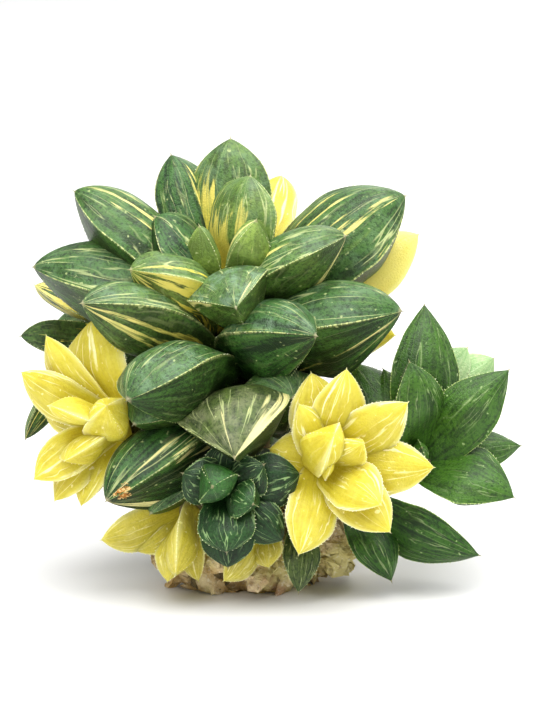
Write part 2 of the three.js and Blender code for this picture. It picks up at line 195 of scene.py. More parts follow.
class Finish:
    """A material and the shader at its end."""

    def __init__(self, name, **uniform):
        self.material = bpy.data.materials.new(name)
        self.material.use_nodes = True
        self.tree = self.material.node_tree
        self.shader = self.tree.nodes["Principled BSDF"]
        for socket, value in uniform.items():
            self.shader.inputs[socket.replace("_", " ")].default_value = value

    def feed(self, socket, value):
        if isinstance(value, Signal):
            self.tree.links.new(value.socket, socket)
        else:
            socket.default_value = value

    def node(self, kind, settings=None, values=None, output=0):
        """Adds any node: its settings first, then the values or links of its sockets."""
        made = self.tree.nodes.new(kind)
        for setting, value in (settings or {}).items():
            setattr(made, setting, value)
        for socket, value in (values or {}).items():
            self.feed(made.inputs[socket], value)
        return Signal(self, made.outputs[output])

    def set(self, socket, value):
        self.feed(self.shader.inputs[socket], value)

    def mix(self, first, second, share):
        values = {"Factor": share, 6: first, 7: second}
        return self.node("ShaderNodeMix", {"data_type": "RGBA", "clamp_factor": True}, values, 2)

    def attribute(self, name):
        return self.node("ShaderNodeAttribute", {"attribute_name": name}, output="Fac")

    def vector(self, x, y, z):
        return self.node("ShaderNodeCombineXYZ", values={0: x, 1: y, 2: z})

    def noise(self, place, scale=1, detail=3, distortion=0):
        values = {"Vector": place, "Scale": scale, "Detail": detail, "Distortion": distortion}
        return self.node("ShaderNodeTexNoise", values=values)

    def cracks(self, place, scale=1):
        """How far a point is from the edges of a net of cells."""
        values = {"Vector": place, "Scale": scale}
        return self.node("ShaderNodeTexVoronoi", {"feature": "DISTANCE_TO_EDGE"}, values)

    def place(self):
        return self.node("ShaderNodeTexCoord", output="Object")

    def bump(self, height, strength, depth):
        values = {"Height": height, "Strength": strength, "Distance": depth}
        self.set("Normal", self.node("ShaderNodeBump", values=values))


def colour(code):
    """A linear colour from the six hex digits of a screen colour."""
    parts = [int(code[i : i + 2], 16) / 255 for i in (0, 2, 4)]
    return tuple(c / 12.92 if c <= 0.04045 else ((c + 0.055) / 1.055) ** 2.4 for c in parts) + (1,)


print("a mid green is", [round(v, 3) for v in colour("4d7a48")])

# %% [markdown]
# ## Floor
# The clump stands on a smooth white table that runs back out of sight. A real studio sweeps the
# paper up behind the object. A disc wide enough to fill the picture does the same with less.

# %% Floor
TABLE_RADIUS = 4  # metres
TABLE_SIDES = 96


def add_floor():
    finish = Finish("white_table")
    mottle = finish.noise(finish.place(), scale=6, detail=4)
    finish.set("Base Color", finish.mix(colour("dadad9"), colour("dfdfdf"), mottle))
    finish.set("Roughness", 0.5 + mottle * 0.12)
    disc = bpy.data.meshes.new("table")
    around = [2 * math.pi * i / TABLE_SIDES for i in range(TABLE_SIDES)]
    rim = [(TABLE_RADIUS * math.cos(a), TABLE_RADIUS * math.sin(a), 0) for a in around]
    disc.from_pydata(rim, [], [range(TABLE_SIDES)])
    table = bpy.data.objects.new("table", disc)
    disc.materials.append(finish.material)
    bpy.context.collection.objects.link(table)
    return table


table = add_floor()
print("table is", table.dimensions.x, "m across")

# %% [markdown]
# ## The leaves' places
# Every leaf is one row: where its tip is from its rosette's heart (right, up and near, as seen
# from the camera), its width, its thickness, its bend, its roll and how far down the stem it
# starts. The same rows shaped the solids, so the finer skins land on them with no fitting.
# Reading points off the solids would copy their facets too. The rows give smooth leaves.

# %% Rows of the large rosette
MAIN_HEART = (-6.1, -1.8, 66.5)
MAIN_AXIS = (-23, 73)  # azimuth from the front towards the right, then elevation
MAIN_LEAVES = {
    "heart_left": (-5.4, 13.2, 8, 9.5, 7, 0.3, 10, 3),
    "heart_right": (6.8, 14.3, 11, 14, 9, 0.3, -10, 3),
    "centre_low": (2.6, -4.7, 24.5, 19, 15, 1, 12, 6),
    "centre_left": (-20.3, 3.7, 12, 18, 15, 0.9, 12, 8),
    "centre_top": (5.6, 24.4, 2, 19.5, 12, 0.3, 0, 5),
    "centre_right": (26.2, 11, 11, 18, 14, 0.7, -5, 8),
    "upper_left": (-15.2, 15.4, 4, 20, 13, 0.6, 0, 6),
    "low_right": (19.7, -10.6, 24, 21, 19, 1, -5, 18),
    "mid_left": (-30.5, -3.6, 16, 18, 16, 0.65, 15, 17),
    "low_left": (-20.4, -24.2, 24, 21.5, 17, 0.55, 16, 20),
    "low_front": (2.3, -36.5, 24, 25, 17, 0.45, 6, 24),
    "high_left": (-33, 21.2, -2, 21, 17, 0.6, 5, 12),
    "far_left": (-42, 4.6, -2, 23, 22, 1, 0, 18),
    "top": (1.2, 33, -6, 18.5, 13, 0.2, 0, 10),
    "top_left": (-12, 29.6, -10, 15, 12, 0.3, 0, 11),
    "high_right": (39.6, 20.3, -5, 24, 22, 0.4, 22, 16),
    "far_right": (38.2, -5.2, 12, 22, 21, 0.85, -5, 22),
    "shaded_left": (-19.5, -29.6, 12, 18, 12, 0.45, 0, 24),
    "shaded_right": (15, -24, 13, 18, 14, 0.5, 0, 27),
    "shaded_low": (2, -43, 6, 16, 11, 0.4, 0, 38),
    "bottom_left": (-25.3, -46, 14, 21.5, 19, 0.6, 16, 38),
    "bottom_back": (-16, -49, 8, 13, 9, 0.4, 0, 40),
    "yellow_high": (12.5, 25.9, -28.9, 15, 8, 0.3, 0, 12),
    "yellow_right": (42.9, 12.2, -15, 14, 8, 0.15, 50, 24),
    "yellow_low": (37.6, -10.3, -13, 15, 8, 0.6, 45, 24),
    "rear_left": (-24, 10, -29, 20, 14, 0.6, 0, 15),
    "rear_middle": (-4, 10, -38, 21, 15, 0.6, 0, 16),
    "rear_right": (18, 12, -34, 20, 14, 0.6, 0, 15),
    "rear_far_left": (-30, -6, -20, 18, 13, 0.6, 0, 22),
    "rear_far_right": (32, 4, -22, 20, 14, 0.6, 0, 18),
    "rear_low_left": (-28, -16.5, -27, 18, 13, 0.6, 0, 24),
    "rear_low_right": (14, -12, -34, 18, 13, 0.6, 0, 23),
    "rear_bottom_left": (-26, -30, -22, 17, 12, 0.5, 0, 32),
    "rear_bottom": (1, -34.5, -33, 18.5, 12.5, 0.5, 0, 36),
    "rear_bottom_right": (26, -28, -18, 17, 12, 0.5, 0, 36),
}
print("large rosette:", len(MAIN_LEAVES), "leaves")

# %% Rows of the smaller rosettes
OFFSETS = {
    "right_yellow": {
        "heart": (15, -16.6, 30.5),
        "axis": (15, 8),
        "root": (9, -4, 16),
        "shape": "slim",
        "leaves": [
            (1.7, -0.4, 13, 6, 4, 0.1, 0, -2),
            (2.5, 7, 16, 12, 11, 0.4, 55, 1),
            (8.5, 4.9, 15, 9, 6, 0.3, 0, 0),
            (12.2, -8.1, 17, 12, 6.5, 0.4, 0, 1),
            (-5, 13, 11, 9, 6, 0.4, 0, 1),
            (5.1, 20.5, 11, 12, 6.5, 0.4, 0, 2),
            (18.1, 13.4, 11, 12, 6.5, 0.4, 0, 2),
            (14.3, -14.1, 12, 12, 6.5, 0.4, 0, 2),
            (-5.1, -19, 10, 12, 6.5, 0.4, 0, 2),
            (-2.4, 19.7, 7, 13, 7, 0.4, 0, 3),
            (23.8, -0.5, 8, 12.5, 6.5, 0.4, 0, 3),
            (-11.3, 3.4, 6, 11, 6, 0.4, 0, 3),
        ],
    },
    "small_green": {
        "heart": (-5.3, -21.5, 26.3),
        "axis": (-5, 5),
        "root": (-1, -6, 15),
        "shape": "broad",
        "leaves": [
            (-3.2, 0.8, 14, 10, 8, 0.5, 0, 0),
            (5.5, -3, 11, 9, 6, 0.5, -15, 0),
            (-0.2, -13.4, 8, 12.5, 7, 0.5, 0, 1),
            (7.7, 5.3, 7, 10.5, 7, 0.5, 0, 1),
            (-9.6, 3.4, 6, 11, 7, 0.5, 0, 1),
            (0, 10, 4, 10, 7, 0.5, 0, 2),
            (15.4, 3.2, 3, 12, 7, 0.5, 0, 3),
            (11.7, -11.1, 2, 10, 7, 0.5, 0, 3),
            (0, -16.9, 2, 12, 7, 0.5, 0, 4),
        ],
    },
    "left_yellow": {
        "heart": (-30.8, -8.1, 37.1),
        "axis": (-50, 5),
        "root": (-7, -2, 17),
        "shape": "slim",
        "leaves": [
            (-0.6, 4.5, 14, 12, 11, 0.4, -70, 1),
            (-12.6, 4.5, 12, 13, 7, 0.4, 0, 0),
            (-9.7, -7.4, 10, 13.5, 7, 0.4, 0, 1),
            (-14.3, 19.5, 0, 12, 6.5, 0.4, 0, 2),
            (-4.2, 23, -2, 24, 9, 0.4, 0, 2),
            (-19.7, 11.6, 0, 12, 6.5, 0.4, 0, 2),
            (-16.8, -11.7, 2, 12, 6.5, 0.4, 0, 2),
            (-12.6, -16.5, -2, 11, 6, 0.4, 0, 3),
            (-6.7, -17.5, 0, 11, 6, 0.4, 0, 3),
            (-16, 4, -12, 10, 6, 0.4, 0, 3),
            (-12, -8, -13, 10, 6, 0.4, 0, 3),
        ],
    },
    "right_green": {
        "heart": (36.8, -4.8, 28.5),
        "axis": (25, 35),
        "root": (13, 0, 16),
        "shape": "lance",
        "leaves": [
            (0, 3, 9, 6, 5, 0.3, 0, 0),
            (-2.8, 21.6, 11, 15, 10, 0.4, 0, 1),
            (19.2, 19.8, 4, 14, 9, 0.4, 0, 2),
            (20.2, -8, 6, 16, 9, 0.4, 0, 2),
            (1.2, 34.2, -6, 16.5, 10, 0.3, 0, 3),
            (-8, 20, -4, 13, 8, 0.4, 0, 4),
            (-15, 21.5, -6, 15, 8, 0.4, 0, 4),
            (22.5, 3, -6, 11, 7, 0.4, 0, 4),
            (-14, 3, 0, 12, 8, 0.4, 0, 4),
            (18, 4, -18, 12, 7, 0.4, 0, 4),
        ],
    },
    "lower_left_yellow": {
        "heart": (-14.8, -12, 18.8),
        "axis": (-25, -20),
        "root": (-5, -5, 12),
        "shape": "slim",
        "leaves": [
            (-1.7, -12.8, 13, 14, 8, 0.4, 25, 0),
            (-18, -6, 6, 11, 4.5, 0.4, 0, 1),
            (-11, -8.5, 2, 9, 5, 0.4, 0, 2),
            (-3.7, -15, 6, 9, 6, 0.4, 0, 2),
            (3, -15, 4, 8, 5, 0.4, 0, 2),
        ],
    },
    "lower_front_yellow": {
        "heart": (2, -15.6, 16),
        "axis": (0, -25),
        "root": (2, -6, 13),
        "shape": "slim",
        "leaves": [
            (-8.2, -11.2, 6, 8.5, 6, 0.4, 0, 0),
            (1.5, -8.4, 4, 8, 5, 0.4, 0, 1),
        ],
    },
    "lower_front_green": {
        "heart": (11, -13.2, 18),
        "axis": (5, -25),
        "root": (7, -5, 13),
        "shape": "lance",
        "leaves": [
            (-1.1, -16.2, 6, 8.5, 6, 0.3, 0, 0),
            (3, -6, 3, 7, 5, 0.3, 0, 0),
        ],
    },
    "lower_right_green": {
        "heart": (21.7, -8.7, 19.7),
        "axis": (30, -20),
        "root": (9, -3, 13),
        "shape": "lance",
        "leaves": [
            (8.5, -16.7, 5, 11, 8, 0.4, 0, 0),
            (27.7, -11.2, 4, 13, 9, 0.4, 0, 1),
        ],
    },
    "rear_left_green": {
        "heart": (-31, 15.8, 52.3),
        "axis": (-100, 15),
        "root": (-5, 5, 18),
        "shape": "broad",
        "leaves": [
            (-12, 0, -4, 9, 6, 0.3, 0, 0),
            (-20.9, -0.2, 2, 11, 6, 0.4, 0, 1),
            (-20, -23.2, 0, 9, 6, 0.4, 0, 2),
            (-18, 11.2, -2, 10, 6, 0.4, 0, 2),
            (-14, 2, -16, 12, 7, 0.4, 0, 2),
            (-6, 12, -17, 12, 7, 0.4, 0, 3),
            (-16, -6, -8, 12, 7, 0.4, 0, 3),
        ],
    },
    "right_pale": {
        "heart": (33, 17, 32),
        "axis": (120, 20),
        "root": (13, 6, 16),
        "shape": "broad",
        "leaves": [
            (15.3, 16.8, 0, 11, 6, 0.4, 0, 1),
            (21.4, 14.4, -2, 11, 6, 0.4, 0, 1),
            (20, 1, -12, 10, 6, 0.4, 0, 0),
            (8, -9, -14, 10, 6, 0.4, 0, 1),
            (8, 8, -18, 10, 6, 0.4, 0, 1),
        ],
    },
    "rear_green": {
        "heart": (-7, 20, 33),
        "axis": (180, 20),
        "root": (1, 8, 18),
        "shape": "broad",
        "spiral": {"leaves": 7, "length": 28, "width": 15, "seed": 3},
    },
    "rear_low_yellow": {
        "heart": (15, 20, 19),
        "axis": (165, -5),
        "root": (7, 6, 13),
        "shape": "slim",
        "spiral": {"leaves": 6, "length": 20, "width": 11, "seed": 8},
    },
}
print("smaller rosettes:", len(OFFSETS))

# %% [markdown]
# ## From a row to a leaf
# A row's right, up and near are turned into the object's own directions, and the leaf's foot is
# set down the stem, a little outwards. A rosette that faces the back has no rows. Its leaves
# follow the rule that real ones do: each is a golden angle on from the last, the young ones
# short and upright, the old ones long and spreading.

# %% Leaf rows become leaves
RIGHT = np.array([1, 0, 0])
UP = np.array([0, math.sin(CAMERA_TILT), math.cos(CAMERA_TILT)])
NEAR = np.array([0, -math.cos(CAMERA_TILT), math.sin(CAMERA_TILT)])
SKYWARD = np.array([0, 0, 1])
LEAF_SEAT = 5.5  # how far out from the rosette's axis the lower leaves start
SEAT_SLOPE = 0.25  # how fast a leaf's foot moves out as it sits lower
GOLDEN_ANGLE = math.pi * (3 - math.sqrt(5))
# The leaves of a spiral rosette, from a newly formed one to the oldest
YOUNG_SPREAD, OLD_SPREAD = 28, 80  # degrees from the axis
YOUNG_REACH = 0.55  # the length of the youngest, as a share of the oldest's
YOUNG_WIDTH = 0.72  # and its width
SPIRAL_DROP = 3.5  # how far down the oldest one sits
SPIRAL_THICKNESS = 0.55  # as a share of the width


def unit(vector):
    return vector / np.linalg.norm(vector, axis=-1, keepdims=True)


def without(vector, direction):
    """The part of a vector that is square to a direction."""
    return vector - np.sum(vector * direction, axis=-1, keepdims=True) * direction


def axis_of(azimuth, elevation):
    a, e = math.radians(azimuth), math.radians(elevation)
    return np.array([math.sin(a) * math.cos(e), -math.cos(a) * math.cos(e), math.sin(e)])


def turned(vector, axis, angle):
    """A vector turned about an axis that it is square to."""
    return vector * math.cos(angle) + np.cross(axis, vector) * math.sin(angle)


def row_leaf(row, heart, axis, shape):
    right, up, near, width, thick, bend, roll, drop = row
    tip = heart + RIGHT * right + UP * up + NEAR * near
    outward = unit(without(tip - heart, axis))
    foot = heart - axis * drop + outward * min(LEAF_SEAT, SEAT_SLOPE * max(0, drop))
    sizes = {"width": width, "thick": thick, "bend": bend, "roll": math.radians(roll)}
    return {"foot": foot, "tip": tip, "axis": axis, "shape": shape, **sizes}


def spiral_leaves(heart, axis, shape, leaves, length, width, seed):
    side = unit(np.cross(SKYWARD, axis))
    made = []
    for i in range(leaves):
        age = (i + 1) / leaves
        spread = math.radians(YOUNG_SPREAD + (OLD_SPREAD - YOUNG_SPREAD) * age)
        outward = turned(side, axis, seed + i * GOLDEN_ANGLE)
        reach = length * (YOUNG_REACH + (1 - YOUNG_REACH) * age)
        reach = reach * (0.96 + 0.08 * abs(math.sin(seed * (i + 2))))  # no two quite alike
        foot = heart - axis * SPIRAL_DROP * age
        tip = foot + axis * reach * math.cos(spread) + outward * reach * math.sin(spread)
        broad = width * (YOUNG_WIDTH + (1 - YOUNG_WIDTH) * age)
        sizes = {"width": broad, "thick": broad * SPIRAL_THICKNESS, "bend": 0.4, "roll": 0}
        made.append({"foot": foot, "tip": tip, "axis": axis, "shape": shape, **sizes})
    return made


def rosette_leaves(offset):
    heart = np.array(offset["heart"], float)
    axis = axis_of(*offset["axis"])
    if "spiral" in offset:
        return spiral_leaves(heart, axis, offset["shape"], **offset["spiral"])
    return [row_leaf(row, heart, axis, offset["shape"]) for row in offset["leaves"]]


main_heart = np.array(MAIN_HEART)
main_axis = axis_of(*MAIN_AXIS)
print("the large rosette leans", round(math.degrees(math.acos(main_axis[2])), 1), "degrees")

# %% [markdown]
# ## A leaf's skin
# A haworthia leaf is a plump boat: a swollen window face on top that lets light in, a keeled
# back below, two sharp margins between them, and a tip that ends in a fine spike. It could be
# sculpted or subdivided from a cage. Here it is drawn by rule instead, ring after ring along a
# curve, because over a hundred leaves then share one piece of code and keep the solids' form.
# Each face also remembers where it is on its leaf, which is all that the markings need.

# %% Sections along a leaf
# Where a leaf is widest, how full its shoulders and its tip are, and how far its window and its
# keel stand out, as shares of its length and thickness
SHAPES = {
    "broad": {"widest": 0.66, "shoulder": 2.3, "point": 0.85, "bulge": 0.29, "keel": 0.76},
    "pointed": {"widest": 0.6, "shoulder": 1.5, "point": 0.95, "bulge": 0.24, "keel": 0.76},
    "lance": {"widest": 0.52, "shoulder": 1.7, "point": 0.95, "bulge": 0.26, "keel": 0.76},
    "slim": {"widest": 0.6, "shoulder": 2, "point": 0.9, "bulge": 0.26, "keel": 0.6},
}
FOOT_WIDTH = 0.5  # at the foot, as a share of the greatest width
FOOT_DEPTH = 0.8  # the same for the keel
SPIKE_RADIUS = 0.16
SPIKE_LENGTH = {"broad": 0.8, "pointed": 0.8, "lance": 0.8, "slim": 0.6}
BEND_PLACE = 0.55  # how far along the leaf its bend lies


def smoothstep(value, low, high):
    t = np.clip((value - low) / (high - low), 0, 1)
    return t * t * (3 - 2 * t)


def profile_at(share, leaf):
    """Half width, window bulge and keel depth at a share of the leaf's length."""
    shape = SHAPES[leaf["shape"]]
    past = np.clip((share - shape["widest"]) / (1 - shape["widest"]), 0, 1)
    rise = np.sin(np.pi / 2 * np.minimum(1, share / shape["widest"]))
    outline = (1 - past ** shape["shoulder"]) ** shape["point"]
    half_width = leaf["width"] / 2 * (FOOT_WIDTH + (1 - FOOT_WIDTH) * rise) * outline
    swell = smoothstep(share, 0.2, 0.6)
    bulge = leaf["thick"] * shape["bulge"] * swell * (1 - past**3.2) ** 0.75
    depth = FOOT_DEPTH + (1 - FOOT_DEPTH) * swell
    keel = leaf["thick"] * shape["keel"] * depth * (1 - past**1.8) ** 0.75
    least = SPIKE_RADIUS
    return np.maximum(half_width, least), np.maximum(bulge, least), np.maximum(keel, least)


def bezier(start, control, end, share):
    """Points and directions along a curve of three points."""
    s = share[:, None]
    points = (1 - s) ** 2 * start + 2 * s * (1 - s) * control + s**2 * end
    along = 2 * (1 - s) * (control - start) + 2 * s * (end - control)
    return points, unit(along)


def leaf_lines(leaf, share):
    """The leaf's middle line, and beside it the directions across it and out of its window."""
    span = leaf["tip"] - leaf["foot"]
    start = unit(leaf["axis"] * leaf["bend"] + unit(span) * (1 - leaf["bend"]))
    control = leaf["foot"] + start * np.linalg.norm(span) * BEND_PLACE
    centre, along = bezier(leaf["foot"], control, leaf["tip"], share)
    outward = unit(without(span, leaf["axis"]))
    window = unit(without(leaf["axis"] - outward, along))
    window = window * math.cos(leaf["roll"]) + np.cross(along, window) * math.sin(leaf["roll"])
    return centre, along, np.cross(along, window), window


sample = {"shape": "broad", "width": 20, "thick": 14}
widths = profile_at(np.array([0, 0.5, 0.9]), sample)[0]
print("half widths of a leaf 20 mm wide:", widths.round(1))

# %% Rings of points become a skin
TRAITS = ("window", "seed", "cream", "warmth", "tone", "frost")  # one value for each face
OUTSIDE = -1.0  # far from every stripe, or from the scorched spot
SEED_STEP = 3.7  # between one leaf of the large rosette and the next
SCARRED_SEED = SEED_STEP * 21  # the leaf that has a scorched spot: bottom_left, the 21st
SCAR_ACROSS, SCAR_HALF_WIDTH = -0.85, 0.35
SCAR_ALONG, SCAR_HALF_LENGTH = 0.955, 0.045


def scar_at(seed, across, along):
    """1 in the middle of the scorched spot, 0 at its rim, falling below 0 outside."""
    if not math.isclose(seed, SCARRED_SEED):
        return OUTSIDE
    sideways = (across - SCAR_ACROSS) / SCAR_HALF_WIDTH
    lengthways = (along - SCAR_ALONG) / SCAR_HALF_LENGTH
    return 1 - math.hypot(sideways, lengthways)


class Skin:
    """Faces that share a mesh, with what each corner and face knows about its leaf."""

    def __init__(self):
        self.points, self.faces, self.corner_uv = [], [], []
        self.corner_stripe, self.corner_scar = [], []
        self.face_traits, self.face_slots, self.sharp = [], [], []
        self.count = 0

    def add_rings(self, rings, ends, uv, stripe, traits, slot, sharp):
        """rings: (stations, around, 3). ends: the closing points at the foot and at the tip.
        uv: (stations, around, 2). stripe: a function of across, along and on_window.
        sharp: the places round each ring that lie on a margin."""
        stations, around = rings.shape[:2]
        base = self.count
        self.points.append(rings.reshape(-1, 3))
        self.points.append(np.array(ends))
        first, last = base + stations * around, base + stations * around + 1
        self.count += stations * around + 2
        for ring in range(stations):
            for i in range(around):
                j = (i + 1) % around
                a, b = base + ring * around + i, base + ring * around + j
                here, there = uv[ring, i], uv[ring, j]
                looks = (stripe, 1.0 if i < around // 2 else 0.0, traits, slot)
                if ring == 0:
                    self.add_face((first, b, a), (here, there, here), *looks)
                if ring == stations - 1:
                    self.add_face((a, b, last), (here, there, here), *looks)
                else:
                    corners = (here, there, uv[ring + 1, j], uv[ring + 1, i])
                    self.add_face((a, b, b + around, a + around), corners, *looks)
        for i in sharp:
            self.sharp.extend(base + ring * around + i for ring in range(stations))

    def add_face(self, face, corners, stripe, on_window, traits, slot):
        self.faces.append(face)
        self.corner_uv.extend(corners)
        self.corner_stripe.extend(stripe(u * 2 - 1, v, on_window) for u, v in corners)
        self.corner_scar.extend(scar_at(traits[0], u * 2 - 1, v) for u, v in corners)
        self.face_traits.append((on_window,) + traits)
        self.face_slots.append(slot)

    def build(self, name, materials):
        """The mesh object, in metres, with its UV map and its attributes."""
        mesh = bpy.data.meshes.new(name)
        points = np.concatenate(self.points) * MM
        mesh.from_pydata(points.tolist(), [], self.faces)
        mesh.uv_layers.new(name="leaf").data.foreach_set("uv", np.ravel(self.corner_uv))
        for drawn, values in (("stripe", self.corner_stripe), ("scar", self.corner_scar)):
            field = mesh.attributes.new(drawn, "FLOAT", "CORNER")
            field.data.foreach_set("value", np.ravel(values))
        for column, trait in enumerate(TRAITS):
            values = mesh.attributes.new(trait, "FLOAT", "FACE")
            values.data.foreach_set("value", np.array(self.face_traits)[:, column].copy())
        mesh.polygons.foreach_set("material_index", self.face_slots)
        mesh.shade_smooth()
        is_sharp = np.zeros(len(points), bool)
        is_sharp[self.sharp] = True
        ends = np.zeros(len(mesh.edges) * 2, int)
        mesh.edges.foreach_get("vertices", ends)
        margins = is_sharp[ends].reshape(-1, 2).all(axis=1)
        mesh.attributes.new("sharp_edge", "BOOLEAN", "EDGE").data.foreach_set("value", margins)
        for material in materials:
            mesh.materials.append(material)
        piece = bpy.data.objects.new(name, mesh)
        bpy.context.collection.objects.link(piece)
        return piece


print("a skin keeps", len(TRAITS), "traits per face")

# %% One leaf's rings
FINE_STATIONS = 36  # rings along a leaf of the large rosette
FINE_HALF = 12  # faces from that leaf's middle to its margin
RING_CROWDING = 1.25  # above 1 the rings crowd towards the tip
KEEL_FOOT = 1.8  # the power of the back's curve at the foot, where the back is round
KEEL_TIP = 1.3  # and at the tip, where it is a ridge
STRIPE_EDGE = 0.13  # over how much of the width a stripe's side fades
STRIPE_FADE = 0.35  # over how much of the length its ends do


def stripe_field(stripes):
    """How deep inside a listed stripe a point is: above 0 inside it, below 0 outside."""

    def at(across, along, on_window):
        best = OUTSIDE
        for side, middle, half, start, end in stripes:
            if (side == "window") != (on_window > 0.5):
                continue
            inside = (half - abs(across - middle)) / STRIPE_EDGE
            from_ends = min(along - start, end - along) / STRIPE_FADE
            best = max(best, min(inside, from_ends))
        return best

    return at


def add_leaf(skin, leaf, seed, traits, stripes, stations, half, slot=0):
    """Draws one leaf: its rings from the foot to the tip, and the spike that closes them."""
    share = 1 - (1 - np.linspace(0, 1, stations)) ** RING_CROWDING
    centre, along, across, window = leaf_lines(leaf, share)
    half_width, bulge, keel = profile_at(share, leaf)
    waver = 1 + 0.012 * np.sin(share * 17 + seed) + 0.01 * np.sin(share * 31 + seed * 2.3)
    half_width = half_width * waver
    top = np.linspace(-1, 1, 2 * half + 1)
    x = np.concatenate([top, top[::-1][1:-1]])
    on_window = np.arange(len(x)) < len(top)
    ridge = KEEL_FOOT + (KEEL_TIP - KEEL_FOOT) * smoothstep(share, 0.4, 0.95)
    up = bulge[:, None] * (1 - x**2) ** 1.15
    down = -keel[:, None] * (1 - np.abs(x) ** ridge[:, None])
    height = np.where(on_window, up, down)
    lean = 0.16 * math.sin(seed * 1.7)  # the keel runs a little off the middle
    height = height * (1 + 0.07 * np.sin(share[:, None] * 9 + seed) * np.sin(x * 2.6 + seed * 0.7))
    skewed = np.where(on_window, x, x + lean * (1 - x**2))
    rings = centre[:, None] + across[:, None] * (skewed * half_width[:, None])[..., None]
    rings = rings + window[:, None] * height[..., None]
    uv = np.stack(np.broadcast_arrays((x + 1) / 2, share[:, None]), axis=-1)
    spike = leaf["tip"] + along[-1] * SPIKE_LENGTH[leaf["shape"]]
    margins = (0, 2 * half)
    ends = (centre[0], spike)
    skin.add_rings(rings, ends, uv, stripe_field(stripes), (seed,) + traits, slot, margins)


print("a leaf of the large rosette has", (FINE_STATIONS + 1) * FINE_HALF * 4, "faces")

# %% [markdown]
# ## The leaf finish
# Up close a leaf is a translucent skin over green tissue. On the window, pale veins run to the
# tip and link up into a net. Cream stripes, where the tissue has no green, run the whole length
# in flames. The back is plainer and darker. Margins and keel are thin pale lines.
# A picture wrapped round each leaf could show that, but these are drawn by maths in the leaf's
# own coordinates: across runs from margin to margin and along from foot to tip, so every
# streak narrows into the tip by itself. One recipe serves all leaves, with other colours.

# %% Colours of the leaves
PALETTES = {
    "variegated": {
        "deep": "0e2608",
        "mid": "355e22",
        "light": "7b933f",
        "bloom_and_sheen": "728d70",
        "vein": "b3bd80",
        "cream": "e0d9a0",
        "warm": "d3c446",
        "margin": "bec47c",
        "tip": "c6b793",
    },
    "green": {
        "deep": "0e2906",
        "mid": "2c5410",
        "light": "5f8b2b",
        "bloom_and_sheen": "5f8344",
        "vein": "afc386",
        "cream": "d8dca0",
        "warm": "bcc455",
        "margin": "a5bb64",
        "tip": "c0b187",
    },
    "dark": {
        "deep": "081a04",
        "mid": "153413",
        "light": "3a7029",
        "bloom_and_sheen": "3f6338",
        "vein": "9cbc7a",
        "cream": "d8dca0",
        "warm": "bcc455",
        "margin": "8fa95e",
        "tip": "b3a67f",
    },
    "lime": {
        "deep": "9e9320",
        "mid": "b8ac34",
        "light": "c9be54",
        "bloom_and_sheen": "c9c076",
        "vein": "e6e2a8",
        "cream": "dcd88c",
        "warm": "bfad38",
        "margin": "dedca0",
        "tip": "c4b878",
    },
    "pale": {
        "deep": "6a9455",
        "mid": "97b478",
        "light": "bccd9c",
        "bloom_and_sheen": "c3cfae",
        "vein": "e0e8c4",
        "cream": "e9ecca",
        "warm": "dfe29c",
        "margin": "dbe3b8",
        "tip": "c4ad84",
    },
    "yellow": {
        "deep": "b09e1a",
        "mid": "c2b42d",
        "light": "cdc247",
        "bloom_and_sheen": "d3ca68",
        "vein": "f3eebd",
        "cream": "e6df90",
        "warm": "d3c53a",
        "margin": "ece7ac",
        "tip": "d2c584",
    },
}
PALETTES["olive"] = {**PALETTES["variegated"], "mid": "3f5320", "bloom_and_sheen": "8e8f6e"}
print("palettes:", ", ".join(PALETTES))


# %% What the marks of a leaf share
class LeafMap:
    """Where a point is on its leaf, what its leaf is like, and the noises its marks share."""

    def __init__(self, finish):
        self.finish = finish
        uv = finish.node("ShaderNodeUVMap", {"uv_map": "leaf"})
        self.across = finish.node("ShaderNodeSeparateXYZ", values={0: uv}, output=0) * 2 - 1
        self.along = finish.node("ShaderNodeSeparateXYZ", values={0: uv}, output=1)
        for name in TRAITS + ("stripe", "scar"):
            setattr(self, name, finish.attribute(name))
        self.back = 1 - self.window
        self.off_middle = abs(self.across)
        self.place = finish.place()
        self.patches = self.streaks(19, 4.5, 6, 4)
        self.fine = self.streaks(31, 11, 2.6, 4)
        self.thread = self.streaks(57, 26, 3.2, 2)
        self.cloud = finish.noise(self.place, scale=190, detail=6, distortion=0.4)
        self.grain = finish.noise(self.place, scale=1500, detail=3)

    def streaks(self, shift, density, run, detail=3):
        """Noise squeezed across the leaf and drawn out along it."""
        place = self.finish.vector(self.across * density, self.along * run, self.seed + shift)
        return self.finish.noise(place, detail=detail, distortion=0.25)


print("a leaf's marks can read", len(TRAITS) + 2, "attributes")

# %% [markdown]
# ### The green
# The tissue under the skin is dark and light in patches that are longer than they are wide, with
# a fine grain, and the window has a dull bloom, laid on lighter and greyer towards the tip as a
# painted sheen of the overhead light. One noise would look like paint. Several are added here,
# drawn out along the leaf, and a smooth step turns their sum into dark and light.


